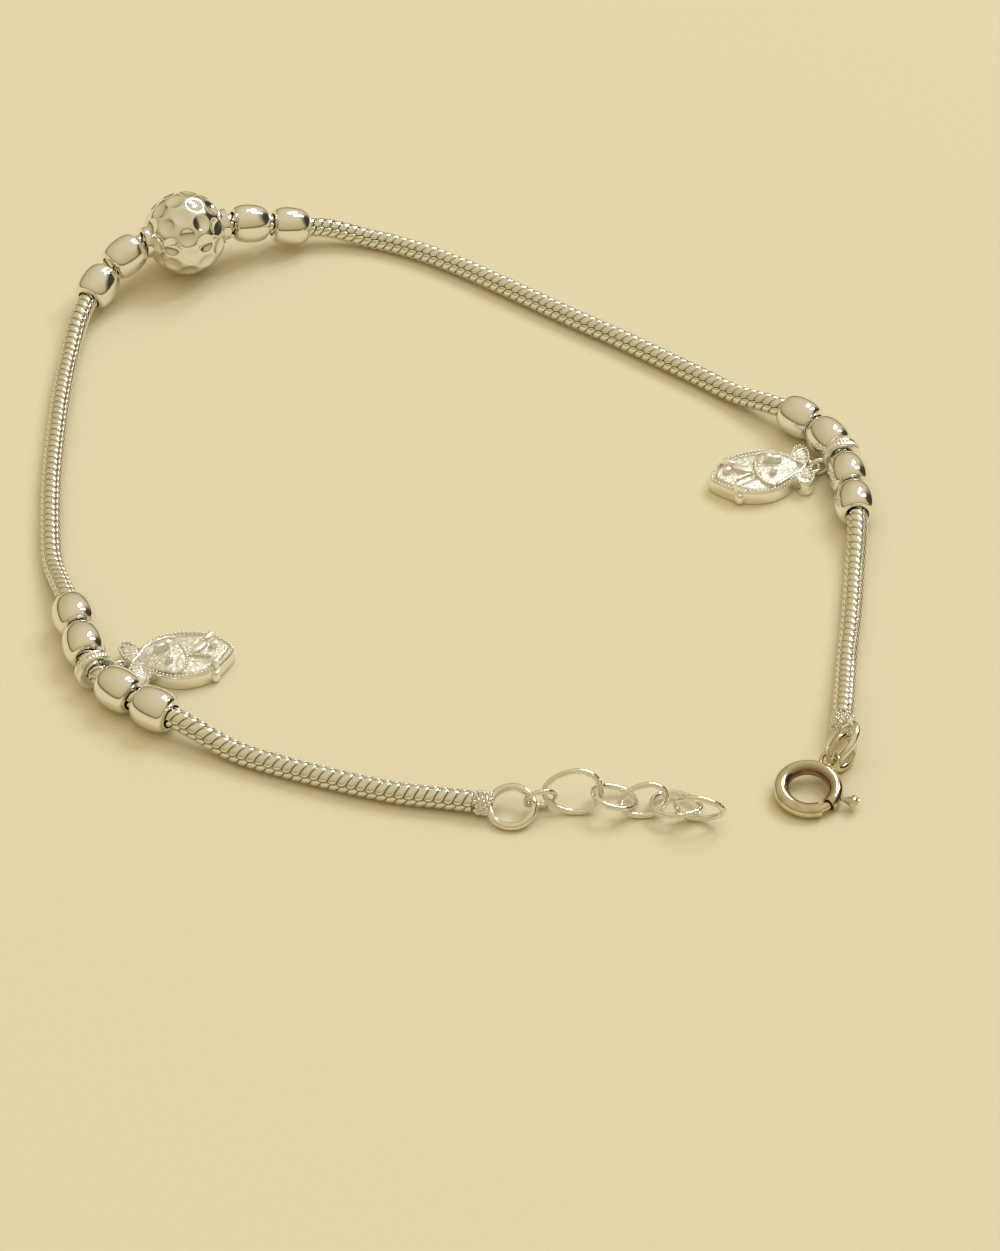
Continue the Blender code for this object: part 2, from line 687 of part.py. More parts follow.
def clasp_link_plan():
    """Centre in plan of the jump ring between the clasp and the chain's ring."""
    return end_ring_far_side(ALONG[-1], 1) + Vector((*CLASP_LINK["step"], 0.0)) * CLASP_LINK_DIAMETER


def make_clasp_link():
    """The thick round jump ring between the clasp and the chain's ring."""
    radius = CLASP_LINK_WIRE / 2
    mean = CLASP_LINK_DIAMETER / 2 - radius
    circle = arc_points(mean, 0.0, 360.0, 360.0 / CLASP_LINK_SIDES)
    lift = CLASP_LINK["lift"] * CLASP_LINK_WIRE
    frame = laid_frame(CLASP_LINK, clasp_link_plan(), circle, radius, lift)
    return torus("clasp_link", mean, radius, frame, BROWNED, CLASP_LINK_SIDES, LOOP_WIRE_SIDES)


def eyelet_frame():
    """The eyelet's frame in the clasp's own: its tangent, its rising radius and its axis."""
    outward = radial_point(1.0, EYELET_ANGLE)
    rise = math.radians(EYELET_RISE)
    tangent = Vector((-outward.y, outward.x, 0.0))
    up = outward * math.cos(rise) + Vector((0.0, 0.0, math.sin(rise)))
    reach = CLASP_TUBE / 2 - EYELET_SINK + (EYELET_DIAMETER - EYELET_WIRE) / 2
    centre = radial_point(CLASP_MEAN, EYELET_ANGLE) + up * reach
    basis = Matrix((tangent, up, tangent.cross(up))).transposed().to_4x4()
    return Matrix.Translation(centre) @ basis


def clasp_frame():
    """The clasp's own frame: its ring in the XY plane, its eyelet round the jump ring."""
    turn = Matrix.Rotation(math.radians(CLASP_TILT), 4, "X")
    eyelet = turn @ eyelet_frame().translation
    plan = clasp_link_plan() + Vector((*EYELET_STEP, 0.0)) * CLASP_LINK_DIAMETER - eyelet
    height = CLASP_MEAN * math.sin(math.radians(CLASP_TILT)) + CLASP_TUBE / 2
    return Matrix.Translation((plan.x, plan.y, height)) @ turn


def arc_points(radius, start, end, step):
    """Points on an arc in the XY plane, angles in degrees."""
    count = max(2, int(math.ceil(abs(end - start) / step)) + 1)
    angles = [math.radians(start + (end - start) * index / (count - 1)) for index in range(count)]
    return [(radius * math.cos(angle), radius * math.sin(angle), 0.0) for angle in angles]


def radial_point(radius, angle):
    """A point at an angle in degrees in the XY plane."""
    return Vector((radius * math.cos(math.radians(angle)), radius * math.sin(math.radians(angle)), 0.0))


def make_clasp_ring():
    """The hollow tube of the clasp, with its gap, slot and eyelet."""
    frame = clasp_frame()
    tube = arc_points(CLASP_MEAN, GAP_START, 360.0 + GAP_END, CLASP_TURN_STEP)
    item = wire("clasp_ring", tube, CLASP_TUBE / 2, BROWNED, resolution=3, matrix=frame)
    eyelet = torus(
        "eyelet", (EYELET_DIAMETER - EYELET_WIRE) / 2, EYELET_WIRE / 2, frame @ eyelet_frame(),
        BROWNED, LOOP_SIDES, LOOP_WIRE_SIDES,
    )
    boolean(item, eyelet, "UNION")
    ends = (GAP_START - BORE_OVERRUN, 360.0 + GAP_END + BORE_OVERRUN)
    bore = arc_points(CLASP_MEAN, *ends, CLASP_TURN_STEP)
    bore_cut = wire("clasp_bore", bore, CLASP_TUBE / 2 - CLASP_WALL, None, resolution=2, matrix=frame)
    boolean(item, bore_cut, "DIFFERENCE")
    half_stem = math.degrees((TRIGGER_STEM / 2 + SLOT_PLAY) / CLASP_MEAN)
    slot = arc_points(
        CLASP_MEAN + CLASP_TUBE / 2, TRIGGER_ANGLE - half_stem,
        TRIGGER_ANGLE + BOLT_TRAVEL + half_stem, BOLT_TURN_STEP,
    )
    slot_cut = wire("clasp_slot", slot, TRIGGER_STEM / 2 + SLOT_PLAY, None, resolution=1, matrix=frame)
    boolean(item, slot_cut, "DIFFERENCE")
    return item


def make_clasp_bolt():
    """The bolt inside the tube, with the trigger's stem and knob; its origin is on its axis."""
    frame = clasp_frame()
    radius = CLASP_TUBE / 2 - CLASP_WALL - BOLT_PLAY
    arc = arc_points(CLASP_MEAN, GAP_END - BOLT_INSERTION, TRIGGER_ANGLE + BOLT_TAIL, BOLT_TURN_STEP)
    item = wire("clasp_bolt", arc, radius, BROWNED, resolution=1, matrix=frame)
    knob_radius = CLASP_DIAMETER / 2 + TRIGGER_REACH - TRIGGER_KNOB_LENGTH / 2
    stem = [tuple(radial_point(CLASP_MEAN, TRIGGER_ANGLE)), tuple(radial_point(knob_radius, TRIGGER_ANGLE))]
    boolean(item, wire("trigger_stem", stem, TRIGGER_STEM / 2, BROWNED, resolution=1, matrix=frame), "UNION")
    shape = bmesh.new()
    bmesh.ops.create_uvsphere(shape, u_segments=KNOB_SIDES, v_segments=KNOB_BANDS, radius=0.5)
    size = (TRIGGER_KNOB_LENGTH, TRIGGER_KNOB_BREADTH, TRIGGER_KNOB_HEIGHT)
    bmesh.ops.scale(shape, vec=size, verts=shape.verts)
    knob = add_object("trigger_knob", mesh_from_bmesh("trigger_knob", shape), BROWNED)
    turn = Matrix.Rotation(math.radians(TRIGGER_ANGLE), 4, "Z")
    knob.matrix_world = frame @ Matrix.Translation(radial_point(knob_radius, TRIGGER_ANGLE)) @ turn
    return boolean(item, knob, "UNION")


def centre_model():
    """Move every piece so that the origin is at the centre of the model's underside."""
    bpy.context.view_layer.update()
    graph = bpy.context.evaluated_depsgraph_get()
    low = Vector((1.0, 1.0, 1.0))
    high = -low
    for item in collection.objects:
        evaluated = item.evaluated_get(graph)
        data = evaluated.to_mesh()
        for vert in data.vertices:
            place = item.matrix_world @ vert.co
            low = Vector(map(min, low, place))
            high = Vector(map(max, high, place))
        evaluated.to_mesh_clear()
    shift = Matrix.Translation((-(low.x + high.x) / 2, -(low.y + high.y) / 2, -low.z))
    for item in collection.objects:
        item.matrix_world = shift @ item.matrix_world


def main():
    start_scene()
    make_chain()
    for name in STATIONS:
        if name.startswith("bead"):
            make_bead(name)
    make_ball()
    for side, mirror in (("left", 1), ("right", -1)):
        make_bail(side)
        make_fish(side, mirror)
    make_soldered_ring("end_ring_front", 0.0, -1, FRONT_RING_TILT)
    make_soldered_ring("end_ring_clasp", ALONG[-1], 1, CLASP_RING_END_TILT)
    make_links()
    make_clasp_link()
    make_clasp_ring()
    make_clasp_bolt()
    for item in collection.objects:
        if item.type == "MESH" and item.name != "centre_ball":
            shade(item)
    centre_model()


main()
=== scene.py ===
# %% [markdown]
# # A silver charm bracelet, lying open
#
# The bracelet is a round snake chain on a cream surface. Barrel beads, a large cut ball and
# two flat fish are threaded on it. One end carries a short extension of bent wire links, the
# other a small spring ring clasp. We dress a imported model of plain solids, which already says
# where every piece lies, so each new surface only has to follow the solid that it replaces.
# Everything is in metres. The jewel is about seven centimetres across, so most sizes are
# written as a number of millimetres times MM.

import json
import math

import bpy
import numpy as np
from mathutils import Euler, Matrix, Vector


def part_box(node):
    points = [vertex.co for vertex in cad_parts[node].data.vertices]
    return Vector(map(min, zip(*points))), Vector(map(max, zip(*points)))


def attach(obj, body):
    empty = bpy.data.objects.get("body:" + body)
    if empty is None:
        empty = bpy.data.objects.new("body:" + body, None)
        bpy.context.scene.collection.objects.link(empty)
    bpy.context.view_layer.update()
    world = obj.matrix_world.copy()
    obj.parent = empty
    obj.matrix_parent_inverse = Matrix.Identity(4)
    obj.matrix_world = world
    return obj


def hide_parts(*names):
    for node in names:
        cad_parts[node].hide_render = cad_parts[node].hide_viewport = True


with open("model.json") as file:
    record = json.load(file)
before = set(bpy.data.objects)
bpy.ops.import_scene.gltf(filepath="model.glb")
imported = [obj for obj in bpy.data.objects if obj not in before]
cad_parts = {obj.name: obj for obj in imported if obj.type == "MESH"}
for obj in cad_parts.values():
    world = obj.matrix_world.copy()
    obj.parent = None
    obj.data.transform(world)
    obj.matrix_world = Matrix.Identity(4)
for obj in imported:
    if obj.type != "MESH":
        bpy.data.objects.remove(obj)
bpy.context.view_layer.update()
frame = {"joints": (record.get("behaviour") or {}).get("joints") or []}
MM = 0.001


# %% Objects and shader nodes
def add_item(name, data):
    """An object with its data, in the scene."""
    item = bpy.data.objects.new(name, data)
    bpy.context.scene.collection.objects.link(item)
    return item


def add_node(tree, kind, inputs, **settings):
    """A shader node with its settings and inputs; an input is a value or the socket to link from."""
    node = tree.nodes.new("ShaderNode" + kind)
    for name, value in settings.items():
        setattr(node, name, value)
    for key, value in inputs.items():
        if isinstance(value, bpy.types.NodeSocket):
            tree.links.new(value, node.inputs[key])
        else:
            node.inputs[key].default_value = value
    return node


def add_mix(tree, factor, first, second):
    """A colour mix; each of the three is a socket or a value."""
    return add_node(tree, "Mix", {0: factor, 6: first, 7: second}, data_type="RGBA").outputs[2]


def add_range(tree, value, low, high, out_low=0.0, out_high=1.0, curve="LINEAR"):
    """A value carried from one range to another, held at the ends."""
    ends = {"From Min": low, "From Max": high, "To Min": out_low, "To Max": out_high}
    return add_node(tree, "MapRange", {"Value": value, **ends}, interpolation_type=curve).outputs[0]


def add_noise(tree, scale, detail, roughness=0.5):
    """Noise over the Object coordinates; the scale is in features per metre."""
    place = add_node(tree, "TexCoord", {}).outputs["Object"]
    looks = {"Vector": place, "Scale": scale, "Detail": detail, "Roughness": roughness}
    return add_node(tree, "TexNoise", looks).outputs["Fac"]


print("ready in", bpy.context.scene.name)

# %% [markdown]
# ## The camera
#
# The photograph was taken from low in front of the jewel, with the lens pointing about forty
# degrees down and the near objects larger than the far ones. The place, the tilt and the
# focal length come from the size and the perspective of the chain in the frame.

# %% Camera
CAMERA_PLACE = (0.00337, -0.25331, 0.2045)
CAMERA_DOWN = 40.5
FOCAL_PIXELS = 4245.0
FRAME_HEIGHT = 1251

camera_data = bpy.data.cameras.new("camera")
camera_data.sensor_width = 36.0
camera_data.sensor_fit = "AUTO"
camera_data.lens = camera_data.sensor_width * FOCAL_PIXELS / FRAME_HEIGHT
camera_data.clip_start = 0.01
camera_data.clip_end = 20.0
camera = add_item("camera", camera_data)
camera.location = CAMERA_PLACE
camera.rotation_euler = (math.radians(90.0 - CAMERA_DOWN), 0.0, 0.0)
bpy.context.scene.camera = camera
print("lens in mm", round(camera_data.lens, 1))

# %% [markdown]
# ## The light
#
# Polished silver shows its surroundings more than itself. The upper side of each bead mirrors
# a dull room, the lower side mirrors the cream surface, and a tall window behind on the right
# gives the hard white spots. So the world is a warm grey, dark close to the horizon and on
# the right, lighter overhead and lightest round the window. The window is two upright panels
# with a bar between. A wide, weak panel overhead softens the shadows, which fall towards the
# lower left, and the metal doesn't mirror it. The room is warmer than the window, so the
# shadows are warmer than the lit surface. The plain view transform keeps the cream of the
# surface and lets the window's spots run to white, as in the photograph.

# %% World and lamps
LOW_ROOM = (0.17, 0.13, 0.065)
HORIZON = (0.52, 0.43, 0.22)
ZENITH = (0.69, 0.60, 0.365)
DARK_WALL = (0.06, 0.05, 0.035)
WALL_WAY = (0.94, 0.28, 0.19)
GLOW = (0.72, 0.64, 0.46)
WINDOW_WAY = (0.42, 0.46, 0.78)

world = bpy.data.worlds.new("room")
world.use_nodes = True
bpy.context.scene.world = world
sky = world.node_tree
sky.nodes.clear()
sky_direction = add_node(sky, "TexCoord", {}).outputs["Generated"]
sky_height = add_node(sky, "SeparateXYZ", {0: sky_direction}).outputs["Z"]
sky_ramp = add_node(sky, "ValToRGB", {0: sky_height})
stops = sky_ramp.color_ramp.elements
stops[0].position, stops[0].color = 0.04, (*LOW_ROOM, 1.0)
stops[1].position, stops[1].color = 0.95, (*ZENITH, 1.0)
stops.new(0.26).color = (*HORIZON, 1.0)
sky_colour = sky_ramp.outputs["Color"]
for way, start, full, colour in ((WINDOW_WAY, 0.55, 1.0, GLOW), (WALL_WAY, 0.76, 0.94, DARK_WALL)):
    facing = add_node(sky, "VectorMath", {0: sky_direction, 1: way}, operation="DOT_PRODUCT")
    share = add_range(sky, facing.outputs["Value"], start, full, curve="SMOOTHSTEP")
    sky_colour = add_mix(sky, share, sky_colour, (*colour, 1.0))
sky_light = add_node(sky, "Background", {"Color": sky_colour})
add_node(sky, "OutputWorld", {"Surface": sky_light.outputs[0]})


def lamp(name, place, width, height, power, colour):
    """A rectangular panel of light at a place, facing the middle of the jewel."""
    data = bpy.data.lights.new(name, "AREA")
    data.shape = "RECTANGLE"
    data.size = width
    data.size_y = height
    data.energy = power
    data.color = colour
    item = add_item(name, data)
    item.location = place
    item.rotation_euler = (-Vector(place)).to_track_quat("-Z", "Y").to_euler()
    return item


WINDOW_COLOUR = (0.90, 0.97, 1.0)
PANE = (0.22, 0.66, 5.0, WINDOW_COLOUR)
lamp("window_left", (0.48, 0.98, 1.24), *PANE)
lamp("window_right", (0.92, 0.66, 1.24), *PANE)
ceiling = lamp("ceiling", (0.10, 0.10, 2.20), 1.80, 1.80, 8.2, (0.95, 0.98, 1.0))
ceiling.visible_glossy = False
bpy.context.scene.view_settings.view_transform = "Standard"

# %% [markdown]
# ## The shared effects
#
# Two effects are used by more than one metal, so each is a node group that is built once.
# The skin of old silver has soft patches that are duller and warmer. The grain is a fine
# bump, coarse on the frosted fish and hardly there on the beads. Both read the Object
# coordinates, so the pattern stays on the metal when the view changes.

# %% An empty node group
def new_group(name, inputs, outputs):
    """An empty shader node group with named sockets: name to (socket type, default)."""
    group = bpy.data.node_groups.new(name, "ShaderNodeTree")
    for direction, sockets in (("INPUT", inputs), ("OUTPUT", outputs)):
        for label, (kind, value) in sockets.items():
            socket = group.interface.new_socket(label, in_out=direction, socket_type=kind)
            if value is not None:
                socket.default_value = value
    enter = group.nodes.new("NodeGroupInput")
    leave = group.nodes.new("NodeGroupOutput")
    return group, enter, leave


# %% Silver skin: colour and roughness with dull, warm patches
skin, skin_in, skin_out = new_group(
    "silver_skin",
    {"Colour": ("NodeSocketColor", (0.9, 0.9, 0.9, 1.0)),
     "Tarnish": ("NodeSocketColor", (0.4, 0.3, 0.2, 1.0)),
     "Amount": ("NodeSocketFloat", 0.2), "Depth": ("NodeSocketFloat", 0.0),
     "Polished": ("NodeSocketFloat", 0.05), "Dull": ("NodeSocketFloat", 0.3)},
    {"Colour": ("NodeSocketColor", None), "Roughness": ("NodeSocketFloat", None)},
)
patches = add_noise(skin, 900.0, 4.0, 0.6)
patch_mask = add_range(skin, patches, 0.42, 0.70, 0.0, skin_in.outputs["Amount"])
# The depth attribute adds more tarnish in the gaps; on the clasp it carries painted shade.
deepest = add_node(skin, "Math", {0: patch_mask, 1: skin_in.outputs["Depth"]}, operation="MAXIMUM").outputs[0]
tinted = add_mix(skin, deepest, skin_in.outputs["Colour"], skin_in.outputs["Tarnish"])
skin.links.new(tinted, skin_out.inputs["Colour"])
dulled = add_range(skin, deepest, 0.0, 1.0, skin_in.outputs["Polished"], skin_in.outputs["Dull"])
skin.links.new(dulled, skin_out.inputs["Roughness"])
print("group", skin.name)

# %% Grain: the height of a fine, even bump
grain, grain_in, grain_out = new_group(
    "metal_grain",
    {"Size": ("NodeSocketFloat", 6000.0), "Coarse share": ("NodeSocketFloat", 0.3)},
    {"Height": ("NodeSocketFloat", None)},
)
fine_grain = add_noise(grain, grain_in.outputs["Size"], 3.0, 0.7)
coarse_grain = add_noise(grain, 1500.0, 2.0)
both_grains = {0: grain_in.outputs["Coarse share"], 2: fine_grain, 3: coarse_grain}
blended = add_node(grain, "Mix", both_grains, data_type="FLOAT")
grain.links.new(blended.outputs[0], grain_out.inputs["Height"])
print("group", grain.name)


# %% [markdown]
# ## The metals
#
# Every metal is the same silver in another state: mirror polished on the beads, worn on the
# rings, frosted on the fish, browned on the clasp. A metal is one Principled shader with the
# two groups in front of it, so the states differ only in their numbers.

# %% A metal
def silver(name, colour, tarnish, amount, polished, dull, grain_size, grain_height, coarse=0.3, depth=None):
    """A silver with its skin and grain; depth names a mesh attribute that is 1 in the gaps and holds painted
    shade on the clasp.
    """
    made = bpy.data.materials.new(name)
    made.use_nodes = True
    tree = made.node_tree
    shader = tree.nodes["Principled BSDF"]
    shader.inputs["Metallic"].default_value = 1.0
    values = {"Colour": (*colour, 1.0), "Tarnish": (*tarnish, 1.0), "Amount": amount,
              "Polished": polished, "Dull": dull}
    surface = add_node(tree, "Group", values, node_tree=skin)
    if depth is not None:
        gaps = add_node(tree, "Attribute", {}, attribute_name=depth)
        tree.links.new(gaps.outputs["Fac"], surface.inputs["Depth"])
    bumps = add_node(tree, "Group", {"Size": grain_size, "Coarse share": coarse}, node_tree=grain)
    height = bumps.outputs["Height"]
    bump = add_node(tree, "Bump", {"Strength": 1.0, "Distance": grain_height, "Height": height})
    tree.links.new(surface.outputs["Colour"], shader.inputs["Base Color"])
    tree.links.new(surface.outputs["Roughness"], shader.inputs["Roughness"])
    tree.links.new(bump.outputs["Normal"], shader.inputs["Normal"])
    return made


# %% The states of the silver
BROWN = (0.30, 0.20, 0.10)
chain_silver = silver(
    "chain_plates", (0.87, 0.85, 0.79), (0.10, 0.065, 0.03), 0.06, 0.13, 0.50,
    5000.0, 0.004 * MM, depth="gap",
)
bead_silver = silver(
    "polished_beads", (0.90, 0.885, 0.85), BROWN, 0.02, 0.035, 0.20, 4000.0, 0.0008 * MM, 0.6,
)
ball_silver = silver("cut_ball", (0.88, 0.865, 0.83), BROWN, 0.03, 0.05, 0.20, 4000.0, 0.0010 * MM, 0.6)
frosted_silver = silver(
    "frosted_fish", (0.86, 0.85, 0.81), (0.60, 0.53, 0.41), 0.25, 0.48, 0.58,
    8000.0, 0.022 * MM, depth="gap",
)
milled_silver = silver("milled_edges", (0.96, 0.95, 0.92), BROWN, 0.02, 0.28, 0.40, 6000.0, 0.004 * MM)
relief_silver = silver("polished_relief", (0.95, 0.94, 0.90), BROWN, 0.02, 0.21, 0.28, 4000.0, 0.002 * MM)
ring_silver = silver("worn_rings", (0.90, 0.88, 0.825), BROWN, 0.16, 0.045, 0.22, 3000.0, 0.008 * MM, 0.5)
solder_silver = silver(
    "grained_solder", (0.88, 0.86, 0.80), (0.26, 0.18, 0.10), 0.12, 0.10, 0.30, 4000.0, 0.010 * MM, 0.4,
)
# The clasp's tarnish colour is also its painted shade on the tube's inward side and inside.
clasp_silver = silver(
    "browned_clasp", (0.74, 0.675, 0.51), (0.22, 0.12, 0.045), 0.40, 0.06, 0.20,
    3500.0, 0.005 * MM, 0.5, depth="gap",
)
print("metals", sum(made.use_nodes for made in bpy.data.materials if made.name[0].islower()))

# %% [markdown]
# ## Surfaces from arrays
#
# A surface here is a pair: an array of points and an array of four-cornered faces. A grid of
# rows and columns is the base of all of them. Closed grids join their last row or column to
# the first. A piece is made from one or more surfaces, its doubled points are merged, and its
# faces are turned outward by the sign of the volume that they enclose.

# %% Grid, join and outward faces
def grid_faces(rows, columns, wrap_rows=False, wrap_columns=False):
    """Faces of a grid: corners (i, j), (i, j + 1), (i + 1, j + 1), (i + 1, j)."""
    row = np.arange(rows if wrap_rows else rows - 1)
    column = np.arange(columns if wrap_columns else columns - 1)
    row, column = (part.ravel() for part in np.meshgrid(row, column, indexing="ij"))
    next_row = (row + 1) % rows
    next_column = (column + 1) % columns
    return np.column_stack([
        row * columns + column, row * columns + next_column,
        next_row * columns + next_column, next_row * columns + column,
    ])


def outward(surface):
    """The surface with its faces outside: flipped when the sum of a . (b x c) is negative."""
    points, faces = surface
    centred = points - points.mean(axis=0)
    a, b, c, d = (centred[faces[:, corner]] for corner in range(4))
    volume = (a * np.cross(b, c)).sum() + (a * np.cross(c, d)).sum()
    return points, faces if volume > 0.0 else faces[:, ::-1]


def joined(*surfaces):
    """Several surfaces as one, each set of faces counted on from the points before."""
    counts = np.cumsum([0] + [len(points) for points, faces in surfaces])
    points = np.vstack([points for points, faces in surfaces])
    faces = np.vstack([faces + start for (points_, faces), start in zip(surfaces, counts)])
    return points, faces


def unit(vectors):
    """Vectors over their lengths."""
    return vectors / np.linalg.norm(vectors, axis=-1, keepdims=True)


# %% From a surface to a piece of the jewel
MERGE_DISTANCE = 0.0002 * MM
UP = np.array([0.0, 0.0, 1.0])


def as_piece(name, surface, material, nodes, body="bracelet", smooth=60.0, gap=None, second=None):
    """Make the mesh, merge its doubles, give it its metal and put it on its body.

    second is another metal and the mask of the faces that have it."""
    points, faces = surface
    data = bpy.data.meshes.new(name)
    data.from_pydata(points.tolist(), [], faces.tolist())
    data.materials.append(material)
    if second is not None:
        data.materials.append(second[0])
        data.polygons.foreach_set("material_index", second[1].astype(np.int32))
    if gap is not None:
        data.attributes.new("gap", "FLOAT", "POINT").data.foreach_set("value", gap.astype(np.float32))
    item = add_item(name, data)
    bpy.context.view_layer.objects.active = item
    bpy.ops.object.select_all(action="DESELECT")
    item.select_set(True)
    bpy.ops.object.mode_set(mode="EDIT")
    bpy.ops.mesh.select_all(action="SELECT")
    bpy.ops.mesh.remove_doubles(threshold=MERGE_DISTANCE)
    bpy.ops.object.mode_set(mode="OBJECT")
    data.shade_smooth()
    data.set_sharp_from_angle(angle=math.radians(smooth))
    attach(item, body)
    if nodes:
        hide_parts(*nodes)
    print(name, "faces", len(data.polygons))
    return item


# %% [markdown]
# ## The route of the chain
#
# The chain is stiff and lies in one smooth open loop, lifted a little where a bead or the
# ball holds it off the surface. The plates, the beads and the rings all need its axis, so we
# repeat the chosen points of the route and the lifts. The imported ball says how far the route
# is moved into the jewel's own frame.

# %% Points of the route, in plan
ROUTE = np.array([
    (3.4, -27.75), (1.0, -27.3), (-1.8, -26.8), (-4.6, -26.0), (-7.5, -25.0), (-10.4, -23.9),
    (-13.3, -22.6), (-16.2, -20.9), (-20.2, -18.3), (-22.9, -16.1), (-24.5, -13.8),
    (-25.4, -10.8), (-26.4, -7.5), (-27.6, -3.9), (-28.4, -0.9), (-28.9, 3.8), (-29.2, 8.7),
    (-29.3, 13.7), (-29.3, 18.8), (-29.1, 24.0), (-28.6, 28.5), (-27.5, 32.2), (-25.4, 35.1),
    (-22.6, 36.9), (-18.0, 38.7), (-13.2, 40.5), (-9.2, 41.3), (-4.9, 40.5), (-1.3, 38.9),
    (2.0, 36.8), (5.3, 34.3), (8.5, 31.8), (11.7, 29.3), (14.9, 26.9), (18.0, 24.4),
    (21.2, 21.8), (24.2, 19.2), (26.6, 17.3), (29.1, 15.4), (31.1, 12.6), (31.7, 10.6),
    (32.0, 8.5), (32.4, 5.2), (32.3, 1.4), (31.8, -3.3), (31.3, -7.9), (30.7, -12.4),
    (30.2, -17.0), (29.95, -19.4),
]) * MM
CHAIN_RADIUS = 0.8 * MM
BEAD_RADIUS = 1.6 * MM
BEAD_LENGTH = 3.05 * MM
BALL_RADIUS = 3.5 * MM
BALL_LENGTH = math.sqrt(7.0 ** 2 - 2.6 ** 2) * MM + 0.7 * MM
LEFT_SLACK = 0.55 * MM
BAIL_RADIUS = 1.475 * MM
BAIL_WIDTH = 0.9 * MM
THREAD_GAP = 0.4 * MM
GROUPS = [
    (0.1715, LEFT_SLACK, ["bead_left_4", "bead_left_3", "charm_bail_left", "bead_left_2", "bead_left_1"]),
    (0.4825, 0.0, ["bead_far_4", "bead_far_3", "centre_ball", "bead_far_2", "bead_far_1"]),
    (0.834, 0.0, ["bead_right_1", "bead_right_2", "charm_bail_right", "bead_right_3", "bead_right_4"]),
]


def smooth_line(points, steps):
    """Hermite arcs: (2t^3 - 3t^2 + 1)p + (t^3 - 2t^2 + t)m + (3t^2 - 2t^3)q + (t^3 - t^2)n."""
    padded = np.vstack([2 * points[0] - points[1], points, 2 * points[-1] - points[-2]])
    before, start, end, after = padded[:-3], padded[1:-2], padded[2:-1], padded[3:]
    t = np.linspace(0.0, 1.0, steps, endpoint=False)[None, :, None]
    leave, arrive = (end - before)[:, None] / 2, (after - start)[:, None] / 2
    start, end = start[:, None], end[:, None]
    line = (
        (2 * t ** 3 - 3 * t ** 2 + 1) * start + (t ** 3 - 2 * t ** 2 + t) * leave
        + (3 * t ** 2 - 2 * t ** 3) * end + (t ** 3 - t ** 2) * arrive
    )
    return np.vstack([line.reshape(-1, points.shape[1]), points[-1:]])


plan = smooth_line(ROUTE, 24)
along = np.concatenate([[0.0], np.cumsum(np.linalg.norm(np.diff(plan, axis=0), axis=1))])
CHAIN_LENGTH = along[-1]
print("chain in mm", round(CHAIN_LENGTH / MM, 1))


# %% Stations of the threaded pieces and the lift of the chain
def thread_size(name):
    """Length along the chain and the radius that holds it off the surface."""
    if name.startswith("bead"):
        return BEAD_LENGTH, BEAD_RADIUS
    if name.startswith("charm"):
        return BAIL_WIDTH, BEAD_RADIUS
    return BALL_LENGTH, BALL_RADIUS


stations = {}
for share, slack, names in GROUPS:
    stations[names[2]] = share * CHAIN_LENGTH
    for step in (1, -1):
        first = share * CHAIN_LENGTH + step * (
            (thread_size(names[2])[0] + thread_size(names[2 + step])[0]) / 2 + THREAD_GAP + slack
        )
        stations[names[2 + step]] = first
        stations[names[2 + 2 * step]] = first + step * (BEAD_LENGTH + THREAD_GAP)


def bell(distance, reach):
    """cos^2 of a quarter turn: one at no distance, nothing at the reach."""
    return np.cos(np.clip(distance / reach, 0.0, 1.0) * math.pi / 2) ** 2


BALL_REACH = 9.0 * MM
BEAD_REACH = 6.0 * MM
END_REACH = 7.0 * MM
FRONT_END_LIFT = 0.075 * MM
CLASP_END_LIFT = 0.68 * MM
LIFT_SMOOTHING = 1.6 * MM

height = np.full(len(along), CHAIN_RADIUS)
for name, place in stations.items():
    long, radius = thread_size(name)
    reach = BALL_REACH if name == "centre_ball" else BEAD_REACH
    distance = np.maximum(np.abs(along - place) - long / 2, 0.0)
    height = np.maximum(height, CHAIN_RADIUS + (radius - CHAIN_RADIUS) * bell(distance, reach))
height = np.maximum(height, CHAIN_RADIUS + FRONT_END_LIFT * bell(along, END_REACH))
height = np.maximum(height, CHAIN_RADIUS + CLASP_END_LIFT * bell(CHAIN_LENGTH - along, END_REACH))
window = max(3, int(LIFT_SMOOTHING / CHAIN_LENGTH * len(along)) // 2 * 2 + 1)
height = np.convolve(np.pad(height, window // 2, mode="edge"), np.ones(window) / window, mode="valid")
axis = np.column_stack([plan, np.maximum(height, CHAIN_RADIUS)])


def at_station(station):
    """Point or points of the axis at stations along the chain."""
    station = np.asarray(station)
    return np.stack([np.interp(station, along, axis[:, part]) for part in range(3)], axis=-1)


ball_low, ball_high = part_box("centre_ball")
ball_ends = stations["centre_ball"] + np.array([-0.5, 0.5]) * BALL_LENGTH
ball_middle = at_station(ball_ends).mean(axis=0)
route_shift = (np.array(ball_low) + np.array(ball_high)) / 2 - ball_middle
route_shift[2] = 0.0
axis = axis + route_shift
print("route moved by mm", np.round(route_shift / MM, 3))


# %% Directions along the chain
def directions(station):
    """Tangent, outward side (up x tangent) and the upright normal to both at stations."""
    station = np.asarray(station, float)
    reach = 0.3 * MM
    tangent = unit(at_station(station + reach) - at_station(station - reach))
    outer = unit(np.cross(UP, tangent))
    return tangent, outer, np.cross(tangent, outer)


def threaded_frame(name, radius):
    """Middle, bore direction, side and upright of a piece whose bore ends lie on the axis."""
    half = thread_size(name)[0] / 2
    before, after = at_station(stations[name] - half), at_station(stations[name] + half)
    middle = (before + after) / 2
    middle[2] = max(middle[2], radius)
    tangent = unit(after - before)
    outer = unit(np.cross(UP, tangent))
    return middle, tangent, outer, np.cross(tangent, outer)


